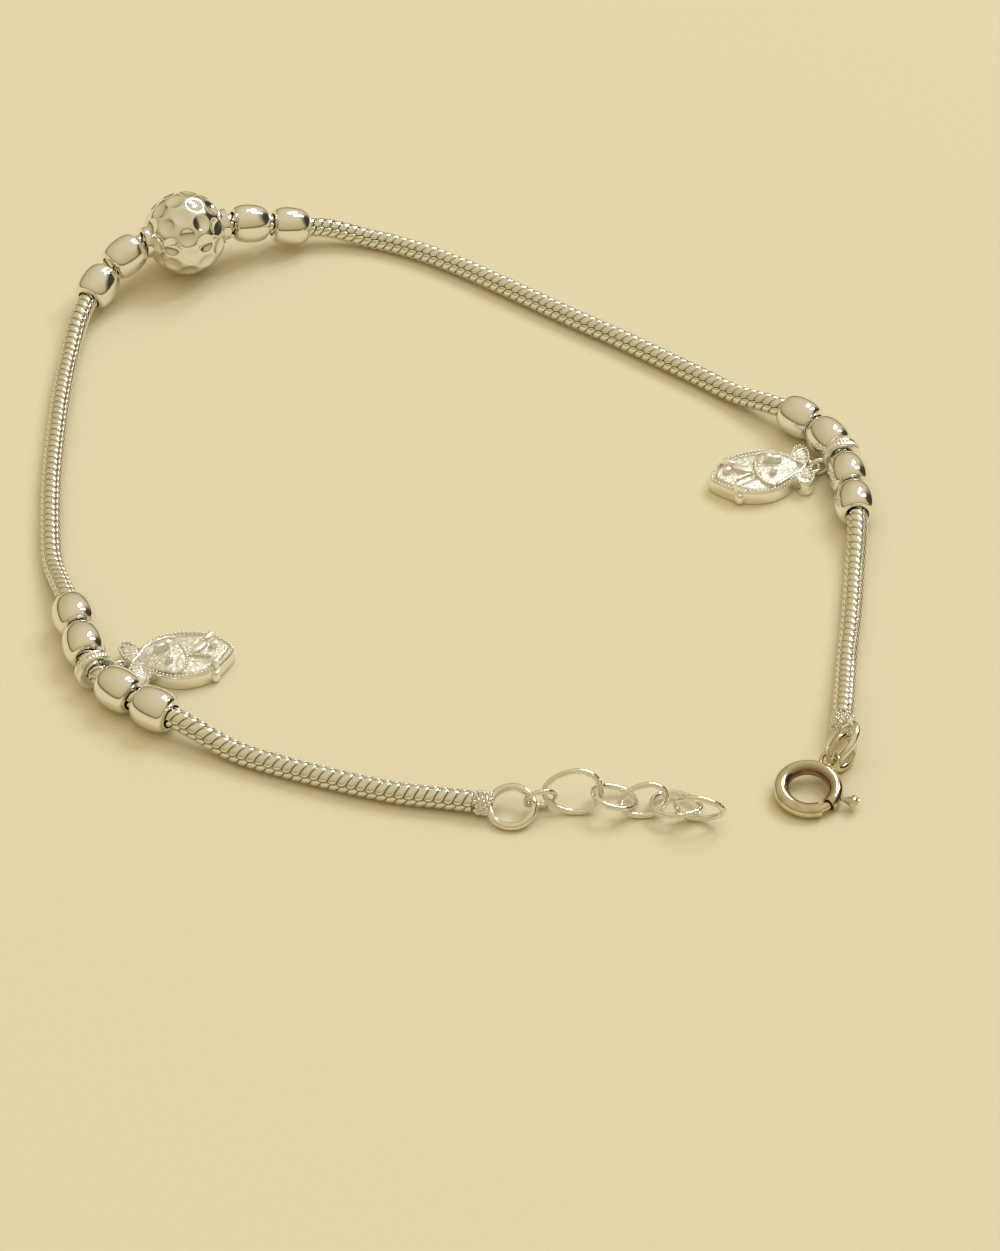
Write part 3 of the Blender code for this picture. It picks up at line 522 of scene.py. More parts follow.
# %% [markdown]
# ## The snake chain
#
# A round snake chain is a stack of small wavy plates. From outside it shows four columns of
# scales, a wide one and a narrow one by turns. All scales lean the same way. The lower ends of
# the wide ones are round, and the pointed tops of the narrow ones sit between them, with dark
# gaps where they meet. Modelling the hidden folds of each plate would cost millions of faces,
# so the whole skin is one closed tube on a sheared grid. Every second column is shifted by
# half a scale, as bricks are. The chain also turns a little round its axis on its way. The
# border between two columns dips under each round end, and on every border the points drop
# into the gap.

# %% One scale of the chain
SCALE_PITCH = 0.70 * MM
COLUMNS = 4
FIRST_BORDER = math.radians(16.0)
TURN_SHIFT = 3
GAP_RADIUS = 0.60 * MM
CHAIN_TWIST = math.radians(50.0)
WIDE_COLUMN = math.radians(100.0)
BORDER_DIPS = (0.095, 0.05)
CELL_ALONG = np.array([0.0, 0.07, 0.25, 0.43, 0.5, 0.57, 0.75, 0.93])
CELL_AROUND = np.array([-1.0, -0.92, -0.78, -0.58, -0.34, -0.1, 0.15, 0.40, 0.62, 0.80, 0.92])


def border_dip(a, column):
    """Where the lower border of a column lies: -(2 sqrt(1 - a^2) - 1), deeper under a wide one."""
    arch = 2.0 * np.sqrt(np.maximum(1.0 - a ** 2, 0.0)) - 1.0
    return -np.where(column % 2 == 0, *BORDER_DIPS) * arch


def in_scale(share, column):
    """Place along a scale from -1 to 1 in a column, every second one shifted by a half."""
    return 2.0 * np.mod(share + 0.5 * (column % 2), 1.0) - 1.0


rows_needed = int(math.ceil(CHAIN_LENGTH / SCALE_PITCH)) + TURN_SHIFT + 3
share_along = np.tile(CELL_ALONG, rows_needed)[:, None]
cell_row = np.repeat(np.arange(rows_needed), len(CELL_ALONG))[:, None]
cell_column = np.repeat(np.arange(COLUMNS), len(CELL_AROUND))[None, :]
b = np.tile(CELL_AROUND, COLUMNS)[None, :]
a = in_scale(share_along, cell_column)
lower_dip = border_dip(a, cell_column) * (1.0 - b) / 2
upper_dip = border_dip(in_scale(share_along, cell_column + 1), cell_column + 1) * (1.0 + b) / 2
gap = (np.maximum(np.abs(a), np.abs(b)) > 0.999).astype(float)
crown = np.where(gap > 0.5, 0.0, 1.0 - 0.32 * np.abs(a) ** 2.2 - 0.30 * np.abs(b) ** 5.0)
column_place = cell_column + (b + 1.0) / 2 + lower_dip + upper_dip
row_place = cell_row + share_along - 1.0
station = SCALE_PITCH * (row_place - (cell_column + (b + 1.0) / 2) * TURN_SHIFT / COLUMNS)
pair_place = np.mod(column_place, 2.0)
pair_turn = math.tau / (COLUMNS / 2)
past_wide = WIDE_COLUMN + (pair_place - 1.0) * (pair_turn - WIDE_COLUMN)
in_pair = np.where(pair_place < 1.0, pair_place * WIDE_COLUMN, past_wide)
turn = FIRST_BORDER + np.floor(column_place / 2.0) * pair_turn + in_pair
print("scales", rows_needed * COLUMNS)

# %% The skin of scales round the axis
overshoot = np.maximum(-station, station - CHAIN_LENGTH) / SCALE_PITCH
radius = GAP_RADIUS + (CHAIN_RADIUS - GAP_RADIUS) * crown
radius = radius * np.clip(1.0 - 1.2 * np.maximum(overshoot, 0.0), 0.0, 1.0)
held = np.clip(station, 0.0, CHAIN_LENGTH)
turn = turn + CHAIN_TWIST * held / CHAIN_LENGTH
tangent, outer, upright = directions(held)
chain_points = at_station(held) + radius[..., None] * (
    np.cos(turn)[..., None] * outer + np.sin(turn)[..., None] * upright
)
rows, columns = radius.shape
inner_faces = grid_faces(rows, columns)
jump = TURN_SHIFT * len(CELL_ALONG)
seam_row = np.arange(jump, rows - 1)
seam_faces = np.column_stack([
    seam_row * columns + columns - 1, (seam_row - jump) * columns,
    (seam_row - jump + 1) * columns, (seam_row + 1) * columns + columns - 1,
])
chain_surface = outward((chain_points.reshape(-1, 3), np.vstack([inner_faces, seam_faces])))
as_piece(
    "chain_scales", chain_surface, chain_silver, ["snake_chain"],
    smooth=80.0, gap=gap.ravel(),
)


# %% [markdown]
# ## Turned pieces
#
# Beads, bails and collars are turned on the chain's axis, so one function carries a closed
# profile round it. The profile is a list of radius and height, and the radius may change
# around the turn, which gives the bails their rope edge. The beads are mirror polished, with
# a thin rim round each hole.

# %% A profile carried round the chain
def turned(middle, tangent, outer, upright, radius, height, sides):
    """p(i, t) = middle + height_i tangent + radius_it (cos t outer + sin t upright), closed both ways."""
    angle = np.arange(sides) * math.tau / sides
    ring = np.cos(angle)[:, None] * outer + np.sin(angle)[:, None] * upright
    radius = np.broadcast_to(radius if radius.ndim == 2 else radius[:, None], (len(height), sides))
    points = middle + height[:, None, None] * tangent + radius[..., None] * ring[None]
    return outward((points.reshape(-1, 3), grid_faces(len(height), sides, True, True)))


BORE_RADIUS = 0.92 * MM
RIM_RADIUS = 1.04 * MM


def bead(name):
    """A barrel: the radius swells from the rim by cos(t)^0.9 between its two shoulders."""
    half = BEAD_LENGTH / 2
    shoulder = half - 0.07 * MM
    t = np.linspace(-math.pi / 2, math.pi / 2, 33)
    swell = RIM_RADIUS + (BEAD_RADIUS - RIM_RADIUS) * np.abs(np.cos(t)) ** 0.9
    rim = np.array([RIM_RADIUS - 0.05 * MM, RIM_RADIUS + 0.01 * MM, RIM_RADIUS - 0.02 * MM])
    rim_height = np.array([half, half - 0.025 * MM, shoulder + 0.015 * MM])
    radius = np.concatenate([[BORE_RADIUS], rim, swell[::-1], rim[::-1], [BORE_RADIUS]])
    height = np.concatenate([[half], rim_height, shoulder * np.sin(t)[::-1], -rim_height[::-1], [-half]])
    return turned(*threaded_frame(name, BEAD_RADIUS), radius, height, 56)


for name in stations:
    if name.startswith("bead"):
        as_piece(name + "_polished", bead(name), bead_silver, [name], smooth=35.0)

# %% [markdown]
# ## The cut ball
#
# The big ball throws several separate spots of light, so it is not plainly round. It is cut
# with rows of shallow round hollows, each as if a small ball had been pressed into it. Along
# any direction the surface lies at the nearest of all these cuts. Taking a soft nearest
# instead of the exact one rounds each ridge by a hair, as tumbling does.

# %% Hollows as cuts by a small ball
CUT_RADIUS = 1.8 * MM
CUT_DEPTH = 0.31 * MM
CUT_SOFTNESS = 0.02 * MM
CUT_ROWS = [(-60, 7), (-36, 10), (-12, 12), (12, 12), (36, 10), (60, 7)]
BALL_COLLAR = 1.3 * MM


def hollow_middles():
    """Rows of hollows along the bore, each row turned half a hollow against the last."""
    normals = []
    for row, (latitude, count) in enumerate(CUT_ROWS):
        turn = (np.arange(count) + 0.5 * (row % 2)) * math.tau / count
        level = math.radians(latitude)
        normals.append(np.column_stack([
            math.cos(level) * np.cos(turn), math.cos(level) * np.sin(turn), np.full(count, math.sin(level)),
        ]))
    return np.vstack(normals)


def cut_ball():
    """Along a ray at an angle t from a cut's middle: D cos t - sqrt(r^2 - D^2 sin^2 t), soft least of all."""
    middle, tangent, outer, upright = threaded_frame("centre_ball", BALL_RADIUS)
    latitude = np.radians(np.linspace(-68.0, 68.0, 110))[:, None, None]
    turn = np.arange(180) * math.tau / 180
    ring = np.column_stack([np.cos(turn), np.sin(turn), np.zeros(len(turn))])
    rays = np.cos(latitude) * ring[None] + np.sin(latitude) * UP
    facing = np.clip(rays @ hollow_middles().T, 0.0, 1.0)
    centre_distance = BALL_RADIUS - CUT_DEPTH + CUT_RADIUS
    under_root = CUT_RADIUS ** 2 - centre_distance ** 2 * (1.0 - facing ** 2)
    cut_reach = centre_distance * facing - np.sqrt(np.maximum(under_root, 0.0))
    cuts = np.where((under_root > 0.0) & (facing > 0.0), cut_reach, BALL_RADIUS)
    cuts = np.minimum(cuts, BALL_RADIUS)
    least = cuts.min(axis=-1, keepdims=True)
    softened = np.log(np.exp((least - cuts) / CUT_SOFTNESS).mean(axis=-1)) + math.log(cuts.shape[-1])
    body = rays * (least[..., 0] - CUT_SOFTNESS * softened)[..., None]
    collar_end = BALL_LENGTH / 2
    collar = [(BALL_COLLAR, collar_end - 0.3 * MM), (BALL_COLLAR, collar_end - 0.04 * MM),
              (BALL_COLLAR - 0.05 * MM, collar_end), (BORE_RADIUS, collar_end)]
    ends = [ring * radius + UP * height for radius, height in collar]
    starts = [ring * radius - UP * height for radius, height in collar[::-1]]
    grid = np.concatenate([np.stack(starts), body, np.stack(ends)])
    points = middle + grid @ np.vstack([outer, upright, tangent])
    return outward((points.reshape(-1, 3), grid_faces(len(grid), len(turn), True, True)))


as_piece("centre_ball_cut", cut_ball(), ball_silver, ["centre_ball"], smooth=25.0)

# %% [markdown]
# ## Wires and grains
#
# Rings, links and ridges are round wire, and bent wire is never perfectly even. A wire is a
# circle carried along a line of points, with a radius of its own at each point and a slow
# ripple made of a few sine waves. Solder and the beaded edges of the fish are many small
# balls, so one function places a whole array of them at once.

# %% A wire along a line
def ripple(along_it, around_it, seed):
    """A sum of sines of both parameters, with fixed phases, between about -1 and 1."""
    phase = np.random.default_rng(seed).uniform(0.0, math.tau, 5)
    waves = [(3, 1, 0.30), (7, -1, 0.26), (13, 2, 0.20), (19, -2, 0.14), (29, 1, 0.10)]
    return sum(
        weight * np.sin(turns * along_it + bends * around_it + angle)
        for (turns, bends, weight), angle in zip(waves, phase)
    )


def wire(path, up, radius, sides=10, closed=False, uneven=0.0, seed=1, flat=1.0):
    """p(i, t) = path_i + r_i (cos t side_i + flat sin t up_i), r_i with a ripple of its own."""
    round_step = np.roll(path, -1, axis=0) - np.roll(path, 1, axis=0)
    step = unit(round_step if closed else np.gradient(path, axis=0))
    side = unit(np.cross(step, up))
    rise = np.cross(side, step)
    t = np.arange(sides) * math.tau / sides
    place = np.linspace(0.0, math.tau, len(path), endpoint=False)[:, None]
    radius = np.broadcast_to(radius, (len(path),))[:, None] * (1.0 + uneven * ripple(place, t[None, :], seed))
    flat = np.broadcast_to(flat, (len(path),))[:, None]
    points = path[:, None] + (radius * np.cos(t))[..., None] * side[:, None] + (
        (radius * flat * np.sin(t))[..., None] * rise[:, None]
    )
    return outward((points.reshape(-1, 3), grid_faces(len(path), sides, closed, True)))


def rounded_ends(radius, count, share=0.12):
    """A radius along an open wire that falls to nothing at both ends: sqrt(1 - (1 - d)^2)."""
    place = np.linspace(0.0, 1.0, count)
    distance = np.clip(np.minimum(place, 1.0 - place) / share, 0.0, 1.0)
    return radius * np.sqrt(np.maximum(1.0 - (1.0 - distance) ** 2, 0.0))


def circle(radius, count=72):
    """(r cos t, r sin t, 0)."""
    t = np.arange(count) * math.tau / count
    return np.column_stack([radius * np.cos(t), radius * np.sin(t), np.zeros(count)])


def placed(points, matrix):
    """Points of a local frame carried by a 4 by 4 matrix."""
    matrix = np.array(matrix)
    return points @ matrix[:3, :3].T + matrix[:3, 3]


def carried(surface, matrix):
    """A surface of a local frame carried by a 4 by 4 matrix."""
    return placed(surface[0], matrix), surface[1]


def frame_of(origin, x_axis, y_axis):
    """A matrix whose X and Y are the given unit vectors."""
    z_axis = np.cross(x_axis, y_axis)
    made = np.eye(4)
    made[:3, 0], made[:3, 1], made[:3, 2], made[:3, 3] = x_axis, y_axis, z_axis, origin
    return made


# %% Many small balls at once
def balls(centres, radii, rows=6, columns=8, flatten=1.0):
    """p = c + r (cos a cos t, cos a sin t, flatten sin a) for every centre c and radius r."""
    centres = np.asarray(centres, float).reshape(-1, 3)
    radii = np.broadcast_to(radii, (len(centres),))
    latitude = np.linspace(-math.pi / 2, math.pi / 2, rows)[:, None]
    turn = (np.arange(columns) * math.tau / columns)[None, :]
    unit = np.stack(np.broadcast_arrays(
        np.cos(latitude) * np.cos(turn), np.cos(latitude) * np.sin(turn), flatten * np.sin(latitude),
    ), axis=-1).reshape(-1, 3)
    points = centres[:, None] + radii[:, None, None] * unit[None]
    faces = grid_faces(rows, columns, False, True)
    starts = np.arange(len(centres))[:, None, None] * len(unit)
    return points.reshape(-1, 3), (faces[None] + starts).reshape(-1, 4)


DOME_SHARE = 0.25
WALL_SHARE = 0.6


def pellet(centre, long, broad, tall, turn, rows=12, columns=20):
    """An ellipsoid with its three half sizes and a nearly flat top, turned in the plane of the fish."""
    points, faces = balls([(0.0, 0.0, 0.0)], 1.0, rows, columns)
    wall = np.clip(points[:, 2] / WALL_SHARE, -1.0, 1.0)
    points[:, 2] = DOME_SHARE * points[:, 2] + (1.0 - DOME_SHARE) * wall
    spin = np.array(Matrix.Rotation(turn, 3, "Z"))
    return (points * np.array([long, broad, tall])) @ spin.T + np.asarray(centre), faces


# %% [markdown]
# ## The rings that carry the fish
#
# Each fish hangs from a narrow band round the chain. The band has two plain edges and a rope
# of slanted grains between them, and a loop of grained wire joins it to the loop at the tail.

# %% Bands with a rope edge
LOOP_MEAN = 0.61 * MM
LOOP_WIRE = 0.19 * MM
LOOP_HEIGHT = 0.82 * MM
ROPE_GRAINS = 30
ROPE_SLANT = 0.9 / MM


def band(name):
    """Radius = edge ridges + groove + rope: |cos(n t / 2 + k h)| across the middle third."""
    half = BAIL_WIDTH / 2
    upper = half * np.array([1.0, 0.97, 0.86, 0.70, 0.62, 0.48, 0.30, 0.1])
    height = np.concatenate([upper, -upper[::-1]])
    t = np.arange(ROPE_GRAINS * 8) * math.tau / (ROPE_GRAINS * 8)
    share = np.abs(height[:, None]) / half
    ridge = 0.05 * MM * np.exp(-((share - 0.84) / 0.10) ** 2)
    slant = np.abs(np.cos(ROPE_GRAINS / 2 * t[None, :] + ROPE_SLANT * height[:, None]))
    rope = slant * np.clip(1.0 - (share / 0.52) ** 2, 0.0, 1.0)
    radius = BAIL_RADIUS - 0.075 * MM + ridge + 0.085 * MM * rope
    radius[[0, -1]] -= 0.05 * MM
    radius = np.vstack([np.full((1, len(t)), BORE_RADIUS), radius, np.full((1, len(t)), BORE_RADIUS)])
    height = np.concatenate([[half], height, [-half]])
    return turned(*threaded_frame(name, BAIL_RADIUS), radius, height, len(t))


def tail_loop(side):
    """Centre of the loop on the band, and the level way from it to the fish."""
    name = "charm_bail_" + side
    place = at_station(stations[name])
    inward = -directions(stations[name])[1]
    reach = BAIL_RADIUS + LOOP_MEAN + LOOP_WIRE - 0.34 * MM
    centre = place + inward * math.sqrt(reach ** 2 - (place[2] - LOOP_HEIGHT) ** 2)
    centre[2] = LOOP_HEIGHT
    return centre, inward


for side in ("left", "right"):
    centre, inward = tail_loop(side)
    upright_frame = frame_of(centre, inward, UP)
    hoop = placed(circle(LOOP_MEAN, 64), upright_frame)
    grains = placed(circle(LOOP_MEAN, 17) * 1.12, upright_frame)
    surface = joined(
        band("charm_bail_" + side), wire(hoop, upright_frame[:3, 2], LOOP_WIRE, 12, True, 0.10, 5),
        balls(grains, 0.15 * MM),
    )
    as_piece("bail_rope_" + side, surface, relief_silver, ["charm_bail_" + side], smooth=50.0)

# %% [markdown]
# ## The fish
#
# The fish are cast flat, with a smooth wall, a frosted face and polished raised forms: an
# eye, a bar behind it, a drop, a small ball and a fin knob. A beaded line marks the gill and
# the edge, and fine rays run over the tail. The body is a grid between the outline and a
# short spine down its middle, closed from the underside over the wall to the raised face.
# The outline is the same list of shares of the length and the width that the solid uses. The
# spine is rounded to a coarse step, so that the two sides meet point to point on it.

# %% Outline and spine of a fish
FISH_LENGTH = 8.3 * MM
FISH_WIDTH = 5.2 * MM
FISH_HALF = 0.6 * MM
SPINE_STEP = 0.25 * MM
FROST_HEIGHT = 0.017 * MM
FISH_SHARES = np.array([
    (0.50, -0.02), (0.43, 0.20), (0.33, 0.36), (0.20, 0.45), (0.06, 0.49), (-0.09, 0.48), (-0.22, 0.39),
    (-0.32, 0.28), (-0.39, 0.44), (-0.46, 0.46), (-0.50, 0.33), (-0.48, 0.13), (-0.42, -0.02),
    (-0.46, -0.18), (-0.44, -0.36), (-0.37, -0.46), (-0.30, -0.42), (-0.27, -0.27), (-0.18, -0.39),
    (-0.04, -0.49), (0.11, -0.50), (0.26, -0.43), (0.40, -0.25),
])


def fish_points(shares, height=0.0):
    """Shares of the length and the width as points at a height."""
    shares = np.atleast_2d(shares)
    return np.column_stack([
        shares[:, 0] * FISH_LENGTH, shares[:, 1] * FISH_WIDTH, np.full(len(shares), height),
    ])


def closed_line(points, steps):
    """The same Hermite arcs as the chain's, on a ring of points."""
    ring = np.vstack([points[-2:], points, points[:3]])
    return smooth_line(ring, steps)[2 * steps:(2 + len(points)) * steps]


outline = closed_line(fish_points(FISH_SHARES), 10)
spine = outline * np.array([0.8, 0.0, 1.0])
spine[:, 0] = np.clip(spine[:, 0], -0.33 * FISH_LENGTH, 0.28 * FISH_LENGTH)
spine[:, 0] = np.round(spine[:, 0] / SPINE_STEP) * SPINE_STEP
inward_step = unit(spine - outline)
print("outline points", len(outline))


# %% Body of a fish
UNDERSIDE_SHARES = (0.0, 0.5, 0.9)
WALL_PROFILE = [
    (0.16, -0.60), (0.05, -0.56), (0.0, -0.45), (0.0, 0.30),
    (0.0, 0.42), (0.03, 0.50), (0.10, 0.55), (0.20, 0.56),
]
FACE_SHARES = np.concatenate([[0.0, 0.03, 0.06, 0.10, 0.15], np.linspace(0.2, 1.0, 26)])
FACE_INSET = 0.24 * MM
FACE_LEVEL = 0.55 * MM
GROOVE_DEPTH = 0.07 * MM


def gill_place(y):
    """How far along the fish the gill lies, at a share of the width."""
    return 0.072 - 0.62 * (y + 0.06) ** 2


def face_height(points):
    """A dome over the body, a step down from the gill to the head, hollows at mouth and tail."""
    x, y = points[..., 0] / FISH_LENGTH, points[..., 1] / FISH_WIDTH
    dome = np.clip(1.0 - (2.1 * y) ** 2, 0.0, 1.0) * np.clip((x + 0.34) * 4.0, 0.0, 1.0)
    hollow = np.exp(-((x + 0.33) / 0.045) ** 2)
    behind_gill = 1.0 / (1.0 + np.exp((x - gill_place(y)) / 0.012))
    mouth = np.exp(-((y + 0.20 + 0.6 * (x - 0.20)) / 0.05) ** 2)
    cheek = mouth * (1.0 - behind_gill) * np.clip((0.34 - x) * 10.0, 0.0, 1.0)
    return 0.20 * MM * dome - 0.08 * MM * hollow + 0.07 * MM * behind_gill - 0.14 * MM * cheek


def fish_body():
    """Rings from the underside's spine, out over the wall and in to the raised face's spine."""
    rings = [spine + (outline - spine) * share - UP * FISH_HALF for share in UNDERSIDE_SHARES]
    rings += [outline + inward_step * inset * MM + UP * level * MM for inset, level in WALL_PROFILE]
    depths = [np.zeros(len(outline)) for ring in rings]
    wall_rows = len(rings) - 2
    edge = outline + inward_step * FACE_INSET
    frost = np.random.default_rng(8)
    for share in FACE_SHARES:
        ring = edge + (spine - edge) * share
        groove = math.exp(-((share - 0.06) / 0.05) ** 2)
        from_gill = ring[:, 0] / FISH_LENGTH - gill_place(ring[:, 1] / FISH_WIDTH)
        beside_gill = np.exp(-(from_gill / 0.03) ** 2)
        rough = frost.normal(0.0, FROST_HEIGHT, len(outline)) * (0.05 < share < 0.99)
        ring[:, 2] = FACE_LEVEL + face_height(ring) * min(1.0, share * 6.0) - GROOVE_DEPTH * groove + rough
        rings.append(ring)
        depths.append(np.clip(0.6 * groove + 0.7 * beside_gill - 15.0 * rough / MM, 0.0, 1.0))
    surface = outward((np.concatenate(rings), grid_faces(len(rings), len(outline), False, True)))
    return surface, np.concatenate(depths), np.arange(len(surface[1])) < wall_rows * len(outline)


# %% Raised forms of a fish
TOP = 0.58 * MM
PELLET_SINK = 0.04 * MM
BEAD_STEP = 0.29 * MM
PELLETS = [
    ((0.33, 0.05), 0.62, 0.34, 0.34, 0.42, 0.0), ((0.295, 0.20), 0.62, 0.64, 0.25, 0.52, 46.0),
    ((0.285, -0.38), -0.12, 0.50, 0.42, 0.46, 80.0), ((0.30, -0.32), 0.50, 0.30, 0.36, 0.60, 0.0),
    ((-0.135, 0.14), 0.64, 0.64, 0.30, 0.52, 20.0), ((-0.08, 0.165), 0.66, 0.34, 0.33, 0.58, 0.0),
    ((-0.085, -0.13), 0.64, 0.31, 0.31, 0.48, 0.0),
]
LEAF = ((0.19, 0.02), 0.50, 0.95, 0.38, 0.44, 38.0)
GILL = np.array([(0.045, 0.17), (0.069, -0.03), (0.062, -0.19), (0.025, -0.315), (-0.045, -0.40)])
BACK = np.array([(-0.34, 0.12), (-0.27, 0.25), (-0.16, 0.34), (-0.05, 0.385), (0.03, 0.37)])
BELLY = np.array([(-0.36, -0.08), (-0.26, -0.20), (-0.15, -0.32), (-0.06, -0.39)])
CHEEK = np.array([(0.09, -0.06), (0.15, -0.09), (0.22, -0.13), (0.28, -0.17)])
TAIL_ROOT = np.array([(-0.41, -0.03), (-0.36, 0.08), (-0.27, 0.24), (-0.18, 0.38)])
TAIL_ROOT_LOW = np.array([(-0.41, -0.03), (-0.36, -0.10), (-0.30, -0.20), (-0.26, -0.27)])


def raised_line(shares, radius, level, steps=8, uneven=0.0):
    """A half sunk wire over the face through a few shares."""
    path = smooth_line(fish_points(shares, level), steps)
    path[:, 2] += face_height(path)
    return wire(path, UP, rounded_ends(radius, len(path)), 8, False, uneven)


def evenly(path, spacing):
    """Points at equal distances along a line."""
    lengths = np.concatenate([[0.0], np.cumsum(np.linalg.norm(np.diff(path, axis=0), axis=1))])
    place = np.arange(0.0, lengths[-1], spacing)
    return np.column_stack([np.interp(place, lengths, path[:, part]) for part in range(3)])


def laid_pellet(row):
    """A pellet of the list, sunk in the face."""
    shares, level, long, broad, tall, turn = row
    centre = fish_points(shares, level * MM)[0]
    centre[2] += face_height(centre) - PELLET_SINK
    return pellet(centre, long * MM, broad * MM, tall * MM, math.radians(turn))


def beaded_lines():
    """Beads along the edge and the gill, ridges at the cheek and the tail, rays on the tail."""
    rim = outline + inward_step * 0.14 * MM + UP * 0.60 * MM
    rim = np.vstack([rim, rim[:1]])
    gill = smooth_line(fish_points(GILL, TOP), 10)
    gill[:, 2] += face_height(gill)
    forms = [
        balls(evenly(rim, BEAD_STEP), 0.13 * MM), balls(evenly(gill, BEAD_STEP), 0.15 * MM),
        raised_line(GILL, 0.10 * MM, TOP - 0.06 * MM), raised_line(CHEEK, 0.11 * MM, TOP + 0.06 * MM),
        laid_pellet(LEAF), raised_line(TAIL_ROOT, 0.10 * MM, TOP, uneven=0.15),
        raised_line(TAIL_ROOT_LOW, 0.09 * MM, TOP, uneven=0.15),
    ]
    for across in (0.14, 0.22, 0.30, 0.37):
        for sign, root_start, bend, tip in ((1.0, 0.10, 0.50, -0.475), (-1.0, 0.08, 0.52, -0.435)):
            root = np.array([-0.33, sign * (root_start + across * 0.45)])
            middle = root * 0.5 + np.array([-0.22, sign * across * bend])
            ray = np.array([root, middle, (tip, sign * across)])
            forms.append(raised_line(ray, 0.085 * MM, 0.56 * MM, uneven=0.3))
    return joined(*forms)


# %% Both fish, one the mirror of the other
FISH_REST = FISH_HALF + 0.02 * MM
LOOP_PLACE = -0.42 * FISH_LENGTH - LOOP_MEAN + 0.15 * MM

for side, heading, mirror in (("left", 13.0, 1.0), ("right", 193.0, -1.0)):
    way = np.array([math.cos(math.radians(heading)), math.sin(math.radians(heading)), 0.0])
    centre, inward = tail_loop(side)
    origin = centre + inward * LOOP_MEAN - way * LOOP_PLACE
    origin[2] = FISH_REST
    fish_frame = frame_of(origin, way, np.array([-way[1], way[0], 0.0]) * mirror)
    fish_frame[:3, 2] = UP
    hoop = circle(LOOP_MEAN, 64) + np.array([LOOP_PLACE, 0.0, LOOP_HEIGHT - FISH_REST])
    body_surface, depths, wall_faces = fish_body()
    hoop_surface = wire(hoop, UP, LOOP_WIRE, 12, True, 0.10, 8)
    ridges = joined(*(raised_line(line, 0.16 * MM, TOP - 0.03 * MM, uneven=0.25) for line in (BACK, BELLY)))
    depths = np.concatenate([depths, np.zeros(len(hoop_surface[0]) + len(ridges[0]))])
    wall_faces = np.concatenate([
        wall_faces, np.ones(len(hoop_surface[1]), bool), np.zeros(len(ridges[1]), bool),
    ])
    frosted = joined(body_surface, hoop_surface, ridges)
    pellets = joined(*(laid_pellet(row) for row in PELLETS))
    parts = [
        ("frosted", frosted, frosted_silver, depths, (relief_silver, wall_faces)),
        ("beaded", beaded_lines(), milled_silver, None, None), ("relief", pellets, milled_silver, None, None),
    ]
    for label, (points, faces), metal, gap, second in parts:
        turned_faces = faces if mirror > 0 else faces[:, ::-1]
        as_piece("fish_%s_%s" % (label, side), carried((points, turned_faces), fish_frame), metal,
                 ["fish_charm_" + side], smooth=40.0, gap=gap, second=second)
    print("fish", side, "origin in mm", np.round(origin / MM, 2))

# %% [markdown]
# ## The soldered rings
#
# A ring is soldered to each end of the chain. The solder is a short cup covered in grains, as
# if small filings had melted there. The grains sit on a spiral of equal steps, which covers a
# cylinder evenly, and a seeded random number makes each a little larger or smaller.

# %% Ring with a cup of grains
END_RING_MEAN = 1.56 * MM
END_RING_WIRE = 0.295 * MM
SOLDER_LENGTH = 0.95 * MM
SOLDER_RADIUS = 0.875 * MM
SOLDER_OVERLAP = 0.42 * MM
END_RING_REACH = 1.825 * MM
SOLDER_GRAINS = 64
GOLDEN_TURN = math.pi * (3.0 - math.sqrt(5.0))


def end_ring_place(station, away):
    """Start of the solder cup, the ring's centre and the level way away from the chain."""
    tangent = directions(min(max(station, 0.3 * MM), CHAIN_LENGTH - 0.3 * MM))[0]
    flat = away * unit(tangent * np.array([1.0, 1.0, 0.0]))
    start = at_station(station) + flat * THREAD_GAP
    return start, start + flat * (SOLDER_LENGTH - SOLDER_OVERLAP + END_RING_REACH), flat


def solder_cup(start, flat, seed):
    """A turned core and grains at height k / n, turn k x the golden turn."""
    side = np.cross(UP, flat)
    height = SOLDER_LENGTH * np.array([-0.32, -0.28, 0.0, 0.5, 0.8, 0.94, 1.0])
    radius = SOLDER_RADIUS * np.array([0.0, 0.62, 0.84, 0.86, 0.78, 0.55, 0.0])
    core = turned(start, flat, side, UP, radius, height, 28)
    place = (np.arange(SOLDER_GRAINS) + 0.5) / SOLDER_GRAINS
    turn = np.arange(SOLDER_GRAINS) * GOLDEN_TURN
    across = SOLDER_RADIUS * 0.86 * np.where(place > 0.8, 1.0 - (place - 0.8) * 1.6, 1.0)
    centres = start + (place * (SOLDER_LENGTH + 0.2 * MM) - 0.2 * MM)[:, None] * flat + across[:, None] * (
        np.cos(turn)[:, None] * side + np.sin(turn)[:, None] * UP
    )
    sizes = np.random.default_rng(seed).uniform(0.11, 0.21, SOLDER_GRAINS) * MM
    centres[:, 2] = np.maximum(centres[:, 2], sizes)
    return joined(core, balls(centres, sizes))


END_RINGS = (("end_ring_front", 0.0, -1.0, 20.0), ("end_ring_clasp", CHAIN_LENGTH, 1.0, 50.0))
for name, station, away, tilt in END_RINGS:
    start, centre, flat = end_ring_place(station, away)
    tilting = np.array(Matrix.Rotation(math.radians(tilt), 4, "X"))
    tilted = frame_of(centre, flat, np.cross(UP, flat)) @ tilting
    hoop = wire(placed(circle(END_RING_MEAN, 96), tilted), tilted[:3, 2], END_RING_WIRE, 16, True, 0.05, 11)
    as_piece(name + "_hoop", hoop, ring_silver, [name])
    as_piece(name + "_solder", solder_cup(start, flat, 21), solder_silver, [name], smooth=70.0)

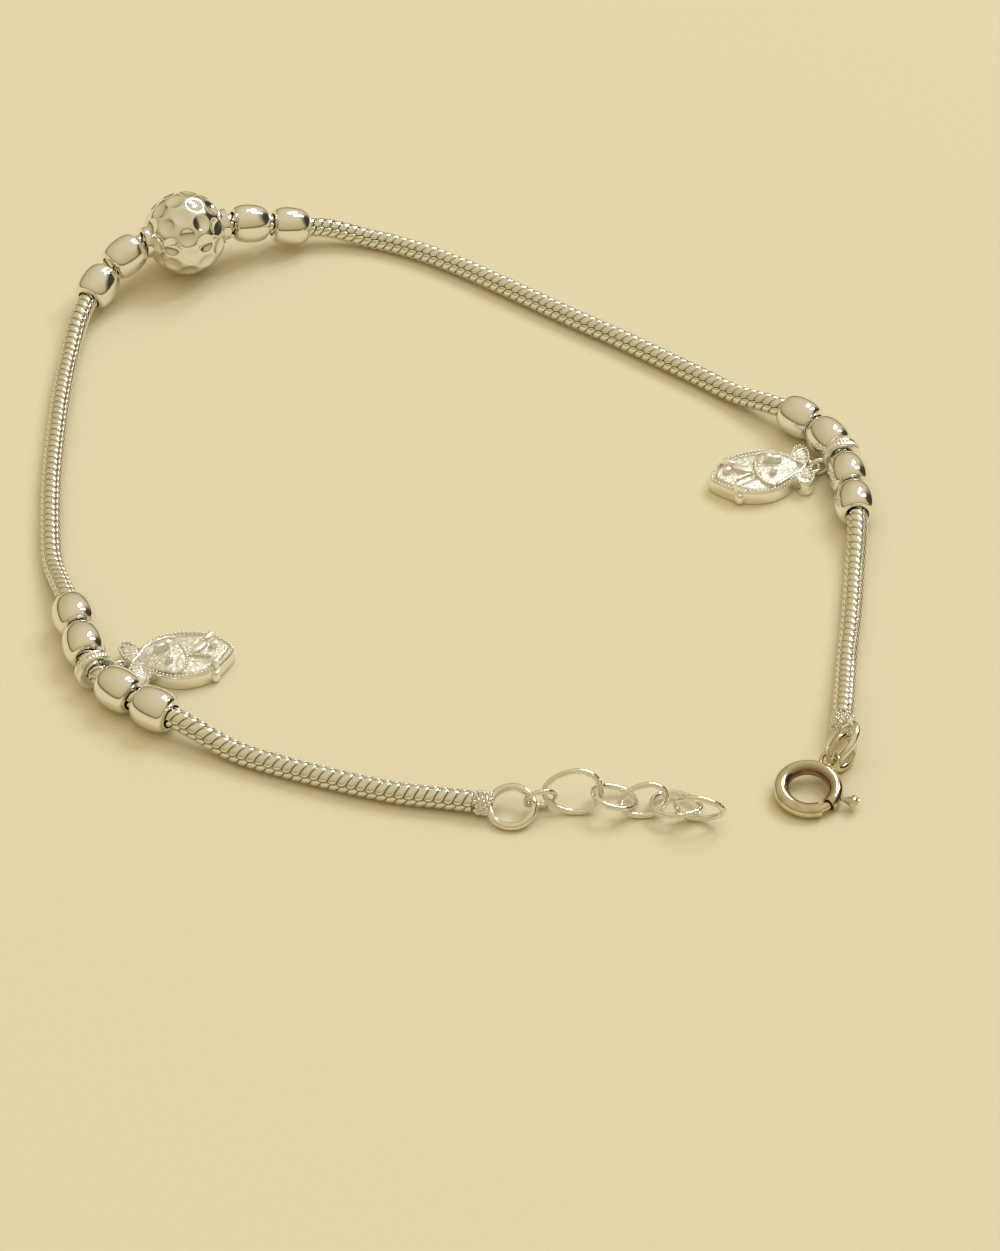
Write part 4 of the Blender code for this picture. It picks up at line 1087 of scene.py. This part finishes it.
# %% [markdown]
# ## The extension links
#
# The links are bent by hand, so no two are alike. Each row of the list gives a link's length
# and width, how pointed its far end is, the share of the wire's thickness, its step from the
# link before, its lift, how it lies, and where its solder is. The lowest point of the wire
# sets its height. Each link was closed with a touch of solder, and small grains of it still
# sit on the wire.

# %% Shapes and places of the links
LINK_LENGTH = 4.0 * MM
LINK_WIDTH = 2.9 * MM
LINK_WIRE = 0.215 * MM
LINK_FIELDS = ("long", "wide", "point", "wire", "step", "lift", "yaw", "rise", "roll", "solder")
LINKS = {
    "connector_link": (0.55, 0.62069, 0.0, 0.875, (0.127, 0.199), 0.31, 15.0, 0.0, 106.0, (250, 60, 16, 0.17)),
    "extension_link_1": (1.0, 1.0, -0.20, 1.0, (0.562, 0.087), 0.11, 2.0, 0.0, 60.0, (55, 34, 26, 0.11)),
    "extension_link_2": (0.8, 1.035, 0.0, 1.0, (0.738, -0.012), 0.74, 18.0, -18.0, -8.0, (215, 50, 30, 0.10)),
    "extension_link_3": (0.825, 0.76, -0.10, 1.0, (0.512, -0.138), 0.08, 9.0, 8.0, 64.0, (165, 36, 22, 0.10)),
    "extension_link_4": (0.875, 1.0, 0.20, 1.0, (0.575, 0.025), 0.70, -10.0, 0.0, -10.0, (320, 30, 22, 0.10)),
    "extension_link_5": (0.825, 0.79, 0.20, 1.0, (0.4, -0.287), 0.17, -9.0, 1.5, 100.0, (60, 26, 14, 0.09)),
}
FRAME_POINTS = 16
LINK_LIFT = 0.4 * MM
LOWEST = 0.01 * MM


def link_path(row, count):
    """(l cos t, w sin t (1 - p cos t), 0) over a whole turn."""
    t = np.arange(count) * math.tau / count
    long, wide = row["long"] * LINK_LENGTH / 2, row["wide"] * LINK_WIDTH / 2
    narrowing = 1.0 - row["point"] * np.cos(t)
    return np.column_stack([long * np.cos(t), wide * np.sin(t) * narrowing, np.zeros(count)])


def laid_frame(row, plan_place, path, radius, lift):
    """The pose of a ring or link whose lowest wire point is at the lift above the surface."""
    pose = Euler((math.radians(row["roll"]), -math.radians(row["rise"]), math.radians(row["yaw"])))
    turn = np.array(pose.to_matrix())
    height = lift + radius - (path @ turn.T)[:, 2].min()
    return frame_of((plan_place[0], plan_place[1], height), turn[:, 0], turn[:, 1])


def solder_grains(path, radius, turn, spread, count, size, seed):
    """Grains scattered on a wire near one place of its turn."""
    random = np.random.default_rng(seed)
    place = np.radians(turn + spread * random.uniform(-1.0, 1.0, count)) / math.tau * len(path)
    spot = place.astype(int) % len(path)
    around = random.uniform(0.0, math.tau, count)
    away = unit(path[spot])
    centres = path[spot] + radius * 0.85 * (np.cos(around)[:, None] * away + np.sin(around)[:, None] * UP)
    return balls(centres, size * random.uniform(0.6, 1.15, count))


# %% The links
place = end_ring_place(0.0, -1.0)
plan_place = place[1] + place[2] * END_RING_MEAN
for seed, (name, values) in enumerate(LINKS.items()):
    row = dict(zip(LINK_FIELDS, values))
    plan_place = plan_place + np.array([*row["step"], 0.0]) * LINK_LENGTH
    radius = LINK_WIRE * row["wire"]
    pose = laid_frame(row, plan_place, link_path(row, FRAME_POINTS), radius, row["lift"] * LINK_LIFT)
    path = link_path(row, 96)
    turn, spread, count, size = row["solder"]
    surface = joined(
        wire(path, UP, radius, 12, True, 0.13, seed + 31),
        solder_grains(path, radius, turn, spread, count, size * MM, seed + 51),
    )
    laid = carried(surface, pose)
    laid[0][:, 2] = np.maximum(laid[0][:, 2], LOWEST)
    as_piece(name + "_bent", laid, ring_silver, [name], smooth=70.0)

# %% Jump ring of the clasp
CLASP_LINK = {"step": (0.032, 0.167), "lift": 0.04, "yaw": 48.0, "rise": 6.7, "roll": 75.5}
CLASP_LINK_SIZE = 2.94 * MM
CLASP_LINK_WIRE = 0.25 * MM
HAMMERED_SHARE = 1.2
place = end_ring_place(CHAIN_LENGTH, 1.0)
step = np.array([*CLASP_LINK["step"], 0.0]) * CLASP_LINK_SIZE
mean = CLASP_LINK_SIZE / 2 - CLASP_LINK_WIRE
lift = CLASP_LINK["lift"] * 2 * CLASP_LINK_WIRE
plan_place = place[1] + place[2] * END_RING_MEAN + step
pose = laid_frame(CLASP_LINK, plan_place, circle(mean, 14), CLASP_LINK_WIRE, lift)
hoop = placed(circle(mean, 96), pose)
surface = wire(hoop, pose[:3, 2], CLASP_LINK_WIRE * HAMMERED_SHARE, 14, True, 0.08, 77)
surface[0][:, 2] = np.maximum(surface[0][:, 2], LOWEST)
as_piece("clasp_link_hammered", surface, clasp_silver, ["clasp_link"])

# %% [markdown]
# ## The spring ring clasp
#
# The clasp is a hollow tube bent into a ring, with a gap that a curved bolt closes and a slot
# for the bolt's trigger. A tube with a real wall is two skins on the same grid. We leave out
# the faces of the slot in both, and every open edge of the outer skin is joined to the same
# edge of the inner one, which makes the lips of the slot and of both tube ends.

# %% Two skins made into a wall
def walled(outer_points, inner_points, faces):
    """Outer faces, inner faces turned round, and a quad along every edge that has one face."""
    edges = np.vstack([faces[:, [side, (side + 1) % 4]] for side in range(4)])
    ordered = np.sort(edges, axis=1)
    unique, index, count = np.unique(ordered, axis=0, return_index=True, return_counts=True)
    rim = edges[index[count == 1]]
    start = len(outer_points)
    lips = np.column_stack([rim[:, 1], rim[:, 0], rim[:, 0] + start, rim[:, 1] + start])
    points = np.vstack([outer_points, inner_points])
    return outward((points, np.vstack([faces, faces[:, ::-1] + start, lips])))


# %% Frame of the clasp
CLASP_MEAN = 1.95 * MM
CLASP_TUBE = 0.55 * MM
CLASP_WALL = 0.15 * MM
CLASP_TILT = 9.0
GAP_START = -46.0
GAP_END = -70.0
TRIGGER_ANGLE = -21.0
SLOT_HALF = 0.27 * MM
SLOT_START = -28.9
SLOT_END = 16.9
EYELET_ANGLE = 56.0
EYELET_RISE = 12.0
EYELET_MEAN = 0.63 * MM
EYELET_WIRE = 0.17 * MM
EYELET_SINK = 0.24 * MM
EYELET_SEAT = (0.34 * MM, 0.42 * MM, 0.34 * MM)


def arc(radius, start, end, count):
    """(r cos t, r sin t, 0) between two angles in degrees."""
    t = np.radians(np.linspace(start, end, count))
    return np.column_stack([radius * np.cos(t), radius * np.sin(t), np.zeros(count)])


trigger = next(joint for joint in frame["joints"] if joint["name"] == "clasp_trigger")
clasp_frame = np.eye(4)
clasp_frame[:3, :3] = np.array(Matrix.Rotation(math.radians(CLASP_TILT), 3, "X"))
clasp_frame[:3, 3] = trigger["pos_m"]


def plan_way(degrees):
    """The unit vector at an angle in the clasp's plane."""
    return np.array([math.cos(math.radians(degrees)), math.sin(math.radians(degrees)), 0.0])


print("clasp at mm", np.round(clasp_frame[:3, 3] / MM, 2))


def tube_skin(radius, bend, section):
    """Points of a bent tube: ((R + r cos s) cos b, (R + r cos s) sin b, r sin s)."""
    reach = CLASP_MEAN + radius * np.cos(section)[None, :]
    return np.stack([
        reach * np.cos(bend)[:, None], reach * np.sin(bend)[:, None],
        np.broadcast_to(radius * np.sin(section), (len(bend), len(section))),
    ], axis=-1).reshape(-1, 3)


# %% Tube of the clasp, its slot and its eyelet
bend = np.radians(np.linspace(GAP_START, 360.0 + GAP_END, 169))
for edge in (SLOT_START, SLOT_END):
    bend[np.argmin(np.abs(bend - math.radians(edge)))] = math.radians(edge)
slot_section = SLOT_HALF / CLASP_TUBE
section = np.sort(np.concatenate([
    np.linspace(-slot_section, slot_section, 7), np.linspace(slot_section, math.tau - slot_section, 31)[1:-1],
]))
faces = grid_faces(len(bend), len(section), False, True)
bend_middle = np.repeat((bend[1:] + bend[:-1]) / 2, len(section))
section_middle = np.tile((section + np.append(section[1:], section[0] + math.tau)) / 2, len(bend) - 1)
in_slot = (bend_middle > math.radians(SLOT_START)) & (bend_middle < math.radians(SLOT_END))
in_slot &= np.abs((section_middle + math.pi) % math.tau - math.pi) < slot_section
skins = [tube_skin(radius, bend, section) for radius in (CLASP_TUBE, CLASP_TUBE - CLASP_WALL)]
tube = walled(*skins, faces[~in_slot])

outward_way = plan_way(EYELET_ANGLE)
rising = outward_way * math.cos(math.radians(EYELET_RISE)) + UP * math.sin(math.radians(EYELET_RISE))
eyelet_centre = outward_way * CLASP_MEAN + rising * (CLASP_TUBE - EYELET_SINK + EYELET_MEAN)
eyelet_frame = frame_of(eyelet_centre, np.cross(UP, outward_way), rising)
hoop = placed(circle(EYELET_MEAN, 64), eyelet_frame)
eyelet = wire(hoop, eyelet_frame[:3, 2], EYELET_WIRE, 12, True, 0.04, 91, flat=1.25)
seat = pellet(outward_way * (CLASP_MEAN + 0.50 * MM), *EYELET_SEAT, math.radians(EYELET_ANGLE))
surface = joined(tube, eyelet, seat)
# Painted shade: the gap attribute darkens the tube towards its inward side and all over its inside.
inward_shade = np.tile(0.8 * np.clip(0.25 - np.cos(section), 0.0, 1.0), 2 * len(bend))
inward_shade[len(skins[0]):] = 0.9
painted_shade_depth = np.concatenate([inward_shade, np.zeros(len(surface[0]) - len(inward_shade))])
as_piece("clasp_tube", carried(surface, clasp_frame), clasp_silver, ["clasp_ring"],
         smooth=40.0, gap=painted_shade_depth)

# %% Bolt and trigger
BOLT_RADIUS = 0.30 * MM
STEM_RADIUS = 0.17 * MM
KNOB_START = 2.55 * MM
KNOB_END = 3.70 * MM
KNOB_BREADTH = 0.49 * MM
KNOB_FLAT = 0.74
WIDEST = 0.62
CURL_RADIUS = 0.10 * MM

bolt_path = arc(CLASP_MEAN, GAP_END - 7.0, TRIGGER_ANGLE + 12.0, 60)
bolt = wire(bolt_path, UP, rounded_ends(BOLT_RADIUS, 60, 0.06), 16)
trigger_way = plan_way(TRIGGER_ANGLE)
along_knob = (1.0 - np.cos(np.linspace(0.0, math.pi, 25))) / 2
reach = np.concatenate([
    np.linspace(CLASP_MEAN, KNOB_START, 10)[:-1], KNOB_START + (KNOB_END - KNOB_START) * along_knob,
])
swell = np.clip((reach - KNOB_START) / (KNOB_END - KNOB_START), 0.0, 1.0)
widening = STEM_RADIUS + (KNOB_BREADTH - STEM_RADIUS) * np.clip(swell / WIDEST, 0.0, 1.0) ** 1.3
breadth = widening * np.sqrt(np.clip(1.0 - ((swell - WIDEST) / (1.0 - WIDEST)).clip(0.0) ** 2, 0.0, 1.0))
breadth[0] = 0.0
flatness = 1.0 + (KNOB_FLAT - 1.0) * np.clip(swell * 4.0, 0.0, 1.0)
stem = wire(trigger_way * reach[:, None], UP, breadth, 20, flat=flatness)
knob_middle = trigger_way * (KNOB_END - 0.42 * MM)
rim_turn = np.radians(np.linspace(-125.0, 125.0, 40))
knob_side = np.cross(UP, trigger_way)
curl = knob_middle + UP * 0.20 * MM + 0.74 * KNOB_BREADTH * (
    np.cos(rim_turn)[:, None] * trigger_way + np.sin(rim_turn)[:, None] * knob_side
)
surface = joined(bolt, stem, wire(curl, UP, rounded_ends(CURL_RADIUS, len(curl), 0.15), 8))
as_piece("clasp_bolt_trigger", carried(surface, clasp_frame), clasp_silver,
         ["clasp_bolt"], body="clasp_bolt", smooth=40.0)

# %% [markdown]
# ## The surface under the bracelet
#
# The bracelet lies on a plain cream sheet with a faint fleck. It isn't part of the jewel, so
# it is only staged.

# %% Floor
FLOOR_SIZE = 3.0
CREAM = (0.81, 0.745, 0.555)
CREAM_FLECK = (0.785, 0.715, 0.515)

floor_data = bpy.data.meshes.new("floor")
half = FLOOR_SIZE / 2
corners = [(-half, -half, 0.0), (half, -half, 0.0), (half, half, 0.0), (-half, half, 0.0)]
floor_data.from_pydata(corners, [], [(0, 1, 2, 3)])
floor = add_item("floor", floor_data)
floor_paint = bpy.data.materials.new("cream_sheet")
floor_paint.use_nodes = True
paint = floor_paint.node_tree
paint_shader = paint.nodes["Principled BSDF"]
paint_shader.inputs["Roughness"].default_value = 0.9
paint_shader.inputs["Specular IOR Level"].default_value = 0.1
fleck_mask = add_range(paint, add_noise(paint, 2600.0, 5.0, 0.75), 0.40, 0.72)
flecked = add_mix(paint, fleck_mask, (*CREAM, 1.0), (*CREAM_FLECK, 1.0))
paint.links.new(flecked, paint_shader.inputs["Base Color"])
floor_data.materials.append(floor_paint)
